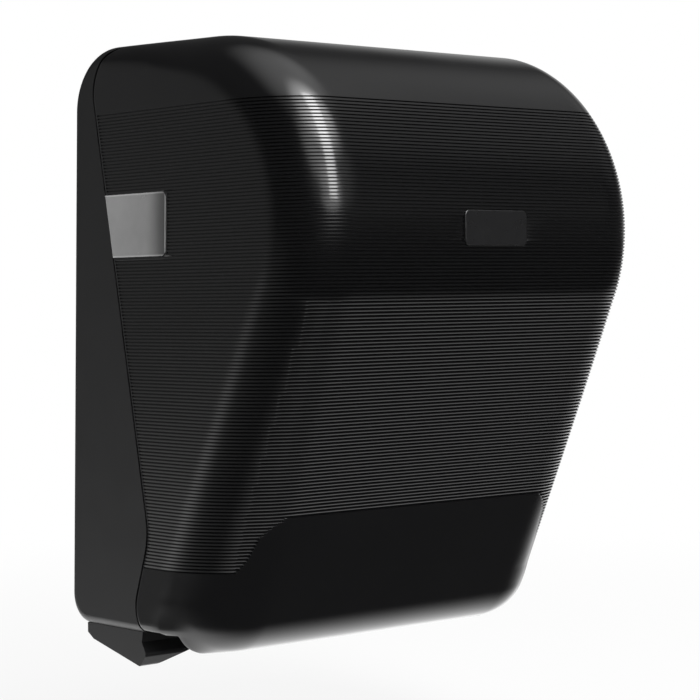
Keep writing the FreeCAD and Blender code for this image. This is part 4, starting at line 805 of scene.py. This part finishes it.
def frosted_copolyester(colours):
    # Clear sheet with a frosted face: milky, light comes through it
    made, tree, shader, place = new_material("frosted_copolyester", colours.guide,
                                             {"IOR": 1.57, "Transmission Weight": 0.6})
    tree.links.new(drift(tree, place, 0.3, 0.42, 8.0), shader.inputs["Roughness"])
    return made


def moulded_grey_abs(colours):
    # ABS moulded in a plain tool: even mid grey with a low sheen and a fine grain, drawn at 0.6 mm to show
    made, tree, shader, place = new_material("moulded_grey_abs", colours.frame, {"IOR": 1.54})
    tint(tree, shader, place, colours.frame, 18.0, 0.05)
    tree.links.new(drift(tree, place, 0.4, 0.5, 15.0), shader.inputs["Roughness"])
    relief(tree, shader, place, 0.6, 0.03)
    return made


def natural_acetal(colours):
    # Moulded acetal: waxy off-white, light enters it a little before it scatters back
    made, tree, shader, place = new_material("natural_acetal", colours.acetal, {
        "IOR": 1.48, "Subsurface Weight": 0.15, "Subsurface Scale": 1.5 * MM})
    tint(tree, shader, place, colours.acetal, 10.0, 0.03)
    tree.links.new(drift(tree, place, 0.3, 0.4, 8.0), shader.inputs["Roughness"])
    return made


def ground_rubber(colours):
    # Ground rubber: dark, dry and matt, with the fine peel that a grinding wheel leaves, drawn at 0.7 mm
    made, tree, shader, place = new_material("ground_rubber", colours.rubber, {"Roughness": 0.8, "IOR": 1.52})
    tint(tree, shader, place, colours.rubber, 9.0, 0.2)
    relief(tree, shader, place, 0.7, 0.06, 3.0)
    return made


def ground_stainless(colours):
    # Hardened stainless strip, ground flat: bright with fine lines along its length, drawn at 0.4 mm
    made, tree, shader, place = new_material("ground_stainless", colours.blade, {"Metallic": 1.0})
    stretched = add(tree, "ShaderNodeMapping", {"Scale": (0.04, 1.0, 1.0)}, {"Vector": place})
    relief(tree, shader, stretched.outputs[0], 0.4, 0.02, 3.0)
    tree.links.new(drift(tree, place, 0.2, 0.32, 10.0), shader.inputs["Roughness"])
    return made


def zinc_plated_steel(colours):
    # Zinc plated steel: pale blue-grey metal with a cloudy sheen
    made, tree, shader, place = new_material("zinc_plated_steel", colours.steel, {"Metallic": 1.0})
    tint(tree, shader, place, colours.steel, 3.0, 0.08)
    tree.links.new(drift(tree, place, 0.28, 0.45, 4.0), shader.inputs["Roughness"])
    return made


def nickel_plated_brass(colours):
    # Turned and nickel plated brass: bright, with an uneven polish from handling
    made, tree, shader, place = new_material("nickel_plated_brass", colours.chrome, {"Metallic": 1.0})
    tree.links.new(drift(tree, place, 0.12, 0.22, 2.0), shader.inputs["Roughness"])
    return made


FINISHES = {
    "black_abs": textured_black_abs,
    "black_abs_gloss": polished_black_abs,
    "badge": satin_black_plate,
    "smoke_window": smoked_polycarbonate,
    "clear_guide": frosted_copolyester,
    "grey_plastic": moulded_grey_abs,
    "white_acetal": natural_acetal,
    "grip_rubber": ground_rubber,
    "roller_rubber": ground_rubber,
    "blade_steel": ground_stainless,
    "plated_steel": zinc_plated_steel,
    "chrome_lock": nickel_plated_brass,
}
made_finishes = {}


def finish_of(slot):
    """The material for one of the record's slots, made once."""
    maker = FINISHES[slot]
    if maker not in made_finishes:
        made_finishes[maker] = maker(bpy.context.scene.dispenser_colours)
    return made_finishes[maker]


# Operators, one for each group of like pieces

def helix(centre, axis, radius, length, turns, steps=20):
    """Points of a coil round an axis, in millimetres."""
    axis = Vector(axis).normalized()
    side = axis.orthogonal().normalized()
    other = axis.cross(side)
    points = []
    for i in range(turns * steps + 1):
        a = 2 * math.pi * i / steps
        along = length * i / (turns * steps) - length / 2
        points.append(Vector(centre) + axis * along + (side * math.cos(a) + other * math.sin(a)) * radius)
    return points


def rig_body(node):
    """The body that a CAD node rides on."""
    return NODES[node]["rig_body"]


def wire_piece(name, paths, diameter, body, slot, replaces):
    """Adds a piece of round wire swept along paths."""
    curve = bpy.data.curves.new(name, "CURVE")
    curve.dimensions = "3D"
    curve.bevel_depth = diameter / 2 * MM
    curve.bevel_resolution = 3
    curve.use_fill_caps = True
    for path in paths:
        spline = curve.splines.new("POLY")
        spline.points.add(len(path) - 1)
        for point, place in zip(spline.points, path):
            point.co = (*(Vector(place) * MM), 1.0)
    holder = bpy.data.objects.new(name + "_curve", curve)
    bpy.context.scene.collection.objects.link(holder)
    mesh = bpy.data.meshes.new_from_object(holder.evaluated_get(bpy.context.evaluated_depsgraph_get()))
    bpy.data.objects.remove(holder)
    mesh.shade_smooth()
    mesh.materials.clear()
    mesh.materials.append(finish_of(slot))
    add_piece(name, mesh, body, slot, replaces)


class DISPENSER_OT_front_cover(bpy.types.Operator):
    """Builds the ribbed cover in place of the plain one"""
    bl_idname = "dispenser.front_cover"
    bl_label = "Ribbed front cover"

    def execute(self, context):
        mesh = build_cover_mesh(context.scene.dispenser_cover)
        mesh.materials.append(finish_of("black_abs_gloss"))
        add_piece("ribbed_cover", mesh, "cover", "black_abs_gloss", ["front_cover"])
        return {"FINISHED"}


# The plate's rings: how far each lies inside the outline, and at what depth
PLATE_RINGS = ((0.0, PLATE_FLOOR), (0.0, PLATE_FRONT + 0.5), (0.15, PLATE_FRONT + 0.18),
               (0.42, PLATE_FRONT + 0.02), (0.75, PLATE_FRONT), (1.5, PLATE_FRONT))
PLATE_TURNS = 10


class DISPENSER_OT_front_plate(bpy.types.Operator):
    """Builds the bare plate on the front with softened edges"""
    bl_idname = "dispenser.front_plate"
    bl_label = "Bare front plate"

    def execute(self, context):
        points, faces = [], []
        for inset, y in PLATE_RINGS:
            half_x, half_z, r = (v - PLATE_GAP - inset for v in (PLATE_HALF_X, PLATE_HALF_Z, PLATE_R))
            for quarter, (sx, sz) in enumerate(((1, 1), (-1, 1), (-1, -1), (1, -1))):
                for i in range(PLATE_TURNS + 1):
                    a = math.pi / 2 * (quarter + i / PLATE_TURNS)
                    points.append((PLATE_X + sx * (half_x - r) + r * math.cos(a), y,
                                   PLATE_Z + sz * (half_z - r) + r * math.sin(a)))
        n = 4 * (PLATE_TURNS + 1)
        for start in range(0, n * (len(PLATE_RINGS) - 1), n):
            for i in range(n):
                a, b = start + i, start + (i + 1) % n
                faces.append((a, b, b + n, a + n))
        faces.append(tuple(range(n))[::-1])
        faces.append(tuple(range(len(points) - n, len(points))))
        mesh = mesh_of("front_plate", points, faces)
        mesh.materials.append(finish_of("badge"))
        add_piece("front_plate", mesh, "cover", "badge", ["badge_plate"])
        return {"FINISHED"}


# Return spring: from the crank pin to the post, with an eye round each. Pressure springs: round the pivot rod
CRANK_PIN, PIN_R = (-121.5, -62.0, -109.0), 2.0
SPRING_POST, POST_R, EYE_CLEAR = (-121.5, -20.0, -56.0), 2.5, 0.25
RETURN_R, RETURN_END, EYE_TURN, EYE_STEPS = 3.4, 5.0, 2.4, 22
ROD_X, ROD_Y, ROD_Z, PRESSURE_R, PRESSURE_LENGTH = 92.0, -113.0, -62.0, 4.6, 16.0


class DISPENSER_OT_springs(bpy.types.Operator):
    """Winds the return spring and the two pressure springs from wire"""
    bl_idname = "dispenser.springs"
    bl_label = "Wire springs"

    def execute(self, context):
        sizes = context.scene.dispenser_springs
        wire = sizes.return_wire
        low, high = Vector(CRANK_PIN), Vector(SPRING_POST)
        along = (high - low).normalized()
        across = Vector((1, 0, 0)).cross(along)
        first, last = ([end + (across * math.sin(a) - way * math.cos(a)) * (bar + EYE_CLEAR + wire / 2)
                        for a in np.linspace(-EYE_TURN, EYE_TURN, EYE_STEPS)]
                       for end, bar, way in ((low, PIN_R, along), (high, POST_R, -along)))
        coils = helix((low + high) / 2, along, RETURN_R - wire / 2, (high - low).length - 2 * RETURN_END,
                      sizes.return_turns)
        wire_piece("return_spring_wire", [first + coils + last[::-1]], wire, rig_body("return_spring"),
                   "plated_steel", ["return_spring"])
        wire = sizes.pressure_wire
        coils = [helix((side * ROD_X, ROD_Y, ROD_Z), (1, 0, 0), PRESSURE_R - wire / 2, PRESSURE_LENGTH - wire,
                       sizes.pressure_turns) for side in (-1, 1)]
        wire_piece("pressure_spring_wire", coils, wire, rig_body("pressure_springs"), "plated_steel",
                   ["pressure_springs"])
        return {"FINISHED"}


class DISPENSER_OT_finishes(bpy.types.Operator):
    """Gives every CAD node the finish of its own material"""
    bl_idname = "dispenser.finishes"
    bl_label = "Finishes of the CAD nodes"

    def execute(self, context):
        for node in NODES.values():
            for i, material in enumerate(node.data.materials):
                node.data.materials[i] = finish_of(material.name)
        return {"FINISHED"}


# The studio, in metres and degrees. Directions are an azimuth from +X and a height above the horizon.
FLOOR_HALF, FLOOR_Z, FLOOR_WHITE, FLOOR_FADE = 12.0, -0.26, (0.9, 0.9, 0.9, 1.0), (0.5, 1.3, 0.85, 1.0)
WHITE, SOFT_LIGHT = (1.0, 1.0, 1.0, 1.0), 0.6
# Soft bright zones of the dim room that the gloss mirrors: azimuth, height, inner and outer radius, strength
ROOM_DIM = 0.065
ROOM_ZONES = (
    (-98, 38, 20, 48, 0.5),
    (-12, 48, 12, 40, 0.27),
    (32, 2, 10, 30, 0.4),
    (122, -8, 8, 34, 0.16),
    (-58, 8, 5, 25, 0.10),
    (-80, 82, 0, 44, 1.1),
    (-90, 62, 0, 28, 5.0),
    (-114, 42, 2, 28, 2.4),
    (-82, 52, 2, 24, 2.6),
    (-103, 16, 4, 22, 2.2),
)
# Floor light in the same room, strong behind the dispenser, weak in front and to the left. Each line weighs
# the direction's parts, then gives the span over which the light goes from one strength to the other
FLOOR_GLOW = (
    ((0.0, 1.0, -0.6), 0.03, 0.85, 0.0, 1.65),
    ((1.0, 1.0, -0.6), -0.2, 0.4, 0.15, 1.0),
    ((0.0, 0.0, -1.0), 0.12, 0.35, 0.0, 1.0),
)
# Soft box: direction, roll, distance, width, length and power in watts
KEY_AZIMUTH, KEY_HEIGHT, KEY_ROLL, KEY_AWAY = -97.0, 42.0, -9.0, 2.3
KEY_WIDTH, KEY_LENGTH, KEY_WATTS = 0.55, 2.6, 45.0
CAMERA_TURN, CAMERA_PITCH, CAMERA_ROLL = 40.96, 1.48, 0.82
CAMERA_PLACE, CAMERA_LENS, CAMERA_SENSOR = (-0.9042, -1.1432, 0.0307), 112.2, 36.0


def direction(azimuth, height):
    """A direction of length one."""
    a, e = math.radians(azimuth), math.radians(height)
    return Vector((math.cos(e) * math.cos(a), math.cos(e) * math.sin(a), math.sin(e)))


class DISPENSER_OT_stage(bpy.types.Operator):
    """Sets up the pale floor, the soft studio light and the camera"""
    bl_idname = "dispenser.stage"
    bl_label = "Studio"

    def execute(self, context):
        scene = context.scene
        scene.view_settings.view_transform = "Standard"
        self.floor()
        self.world(scene)
        self.lamp()
        self.camera(scene)
        return {"FINISHED"}

    def floor(self):
        """A pale floor below the dispenser that shows white and keeps the shadow. The gloss mirrors the room
        instead, which holds the floor's light."""
        mesh = bpy.data.meshes.new("floor")
        turns = ((-1, -1), (1, -1), (1, 1), (-1, 1))
        corners = [(x * FLOOR_HALF, y * FLOOR_HALF, FLOOR_Z) for x, y in turns]
        mesh.from_pydata(corners, [], [(0, 1, 2, 3)])
        floor = bpy.data.objects.new("floor", mesh)
        bpy.context.scene.collection.objects.link(floor)
        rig.stage(floor)
        floor.visible_glossy = False
        made = bpy.data.materials.new("pale_floor")
        made.use_nodes = True
        tree = made.node_tree
        tree.nodes.clear()
        seen = add(tree, "ShaderNodeLightPath").outputs["Is Camera Ray"]
        place = add(tree, "ShaderNodeTexCoord").outputs["Object"]
        far = add(tree, "ShaderNodeVectorMath", {"operation": "LENGTH"}, {0: place}).outputs["Value"]
        share = add(tree, "ShaderNodeMapRange", smooth(*FLOOR_FADE), {"Value": far})
        share = add(tree, "ShaderNodeMath", {"operation": "MULTIPLY"}, {0: seen, 1: share})
        matt = add(tree, "ShaderNodeBsdfDiffuse", {"Color": FLOOR_WHITE})
        white = add(tree, "ShaderNodeEmission", {"Color": WHITE, "Strength": 1.0})
        mix = add(tree, "ShaderNodeMixShader", {}, {0: share, 1: matt, 2: white})
        add(tree, "ShaderNodeOutputMaterial", {}, {"Surface": mix})
        mesh.materials.append(made)

    def world(self, scene):
        """White behind the dispenser, a dim room with bright zones in the gloss, even light otherwise."""
        world = bpy.data.worlds.new("studio")
        scene.world = world
        world.use_nodes = True
        tree = world.node_tree
        tree.nodes.clear()
        path = add(tree, "ShaderNodeLightPath")
        towards = add(tree, "ShaderNodeTexCoord").outputs["Generated"]

        def along(weights):
            """The direction's part along a vector."""
            return add(tree, "ShaderNodeVectorMath", {"operation": "DOT_PRODUCT", 1: weights},
                       {0: towards}).outputs["Value"]

        zones = []
        for azimuth, height, inner, outer, strength in ROOM_ZONES:
            rim, core = math.cos(math.radians(outer)), math.cos(math.radians(inner))
            zones.append(add(tree, "ShaderNodeMapRange", smooth(rim, core, 0.0, strength),
                             {"Value": along(direction(azimuth, height))}))
        glow, *shares = [add(tree, "ShaderNodeMapRange", smooth(*span), {"Value": along(weights)})
                         for weights, *span in FLOOR_GLOW]
        for share in shares:
            glow = add(tree, "ShaderNodeMath", {"operation": "MULTIPLY"}, {0: glow, 1: share})
        total = add(tree, "ShaderNodeMath", {"operation": "ADD", 1: ROOM_DIM}, {0: glow})
        for zone in zones:
            total = add(tree, "ShaderNodeMath", {"operation": "ADD"}, {0: total, 1: zone})
        seen = add(tree, "ShaderNodeMath", {"operation": "MAXIMUM"},
                   {0: path.outputs["Is Camera Ray"], 1: path.outputs["Is Transmission Ray"]})
        soft = add(tree, "ShaderNodeBackground", {"Color": WHITE, "Strength": SOFT_LIGHT})
        white = add(tree, "ShaderNodeBackground", {"Color": WHITE, "Strength": 1.0})
        room = add(tree, "ShaderNodeBackground", {"Color": WHITE}, {"Strength": total})
        mix = add(tree, "ShaderNodeMixShader", {}, {0: seen, 1: soft, 2: white})
        mix = add(tree, "ShaderNodeMixShader", {}, {0: path.outputs["Is Glossy Ray"], 1: mix, 2: room})
        add(tree, "ShaderNodeOutputWorld", {}, {"Surface": mix})

    def lamp(self):
        """A tall soft box in front, a little to the left, that leans with its upper end to the right."""
        light = bpy.data.lights.new("key_lamp", "AREA")
        light.shape = "RECTANGLE"
        light.size, light.size_y = KEY_WIDTH, KEY_LENGTH
        light.energy = KEY_WATTS
        holder = bpy.data.objects.new("key_lamp", light)
        bpy.context.scene.collection.objects.link(holder)
        holder.location = direction(KEY_AZIMUTH, KEY_HEIGHT) * KEY_AWAY
        aimed = (-holder.location).to_track_quat("-Z", "Y")
        holder.rotation_euler = (aimed @ Quaternion((0.0, 0.0, 1.0), math.radians(KEY_ROLL))).to_euler()
        holder.visible_camera = False

    def camera(self, scene):
        """The photograph's view: from the left and a little above the middle of the dispenser."""
        turn, pitch, roll = (math.radians(v) for v in (CAMERA_TURN, CAMERA_PITCH, CAMERA_ROLL))
        ahead = Vector((math.sin(turn) * math.cos(pitch), math.cos(turn) * math.cos(pitch), -math.sin(pitch)))
        level = Vector((math.cos(turn), -math.sin(turn), 0.0))
        down = ahead.cross(level)
        right = level * math.cos(roll) + down * math.sin(roll)
        below = down * math.cos(roll) - level * math.sin(roll)
        camera = bpy.data.objects.new("camera", bpy.data.cameras.new("camera"))
        scene.collection.objects.link(camera)
        camera.data.sensor_width = CAMERA_SENSOR
        camera.data.lens = CAMERA_LENS
        camera.matrix_world = Matrix((right, -below, -ahead)).transposed().to_4x4()
        camera.location = CAMERA_PLACE
        scene.camera = camera


class DISPENSER_PT_panel(bpy.types.Panel):
    """Lists what builds and dresses the dispenser"""
    bl_idname = "DISPENSER_PT_panel"
    bl_label = "Towel dispenser"
    bl_space_type = "VIEW_3D"
    bl_region_type = "UI"
    bl_category = "Dispenser"

    def draw(self, context):
        for group in (context.scene.dispenser_cover, context.scene.dispenser_springs,
                      context.scene.dispenser_colours):
            box = self.layout.box()
            for name in group.__annotations__:
                box.prop(group, name)
        for operator in OPERATORS:
            self.layout.operator(operator.bl_idname)


GROUPS = {
    "dispenser_cover": DispenserCoverSizes,
    "dispenser_springs": DispenserSpringSizes,
    "dispenser_colours": DispenserColours,
}
OPERATORS = (DISPENSER_OT_front_cover, DISPENSER_OT_front_plate, DISPENSER_OT_springs, DISPENSER_OT_finishes,
             DISPENSER_OT_stage)


def register():
    for name, group in GROUPS.items():
        bpy.utils.register_class(group)
        setattr(bpy.types.Scene, name, bpy.props.PointerProperty(type=group))
    for kind in (*OPERATORS, DISPENSER_PT_panel):
        bpy.utils.register_class(kind)


def unregister():
    for kind in (DISPENSER_PT_panel, *reversed(OPERATORS)):
        bpy.utils.unregister_class(kind)
    for name, group in reversed(GROUPS.items()):
        delattr(bpy.types.Scene, name)
        bpy.utils.unregister_class(group)


def main():
    """Builds everything in order and writes the sizes of the CAD model and of the dressed one."""
    register()
    bpy.ops.dispenser.front_cover()
    bpy.ops.dispenser.front_plate()
    bpy.ops.dispenser.springs()
    bpy.ops.dispenser.finishes()
    bpy.ops.dispenser.stage()
    low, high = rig.bounds()
    with open("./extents.json", "w") as out:
        json.dump({"cad": [list(CAD_LOW), list(CAD_HIGH)], "visual": [list(low), list(high)]}, out)


if __name__ == "__main__":
    main()
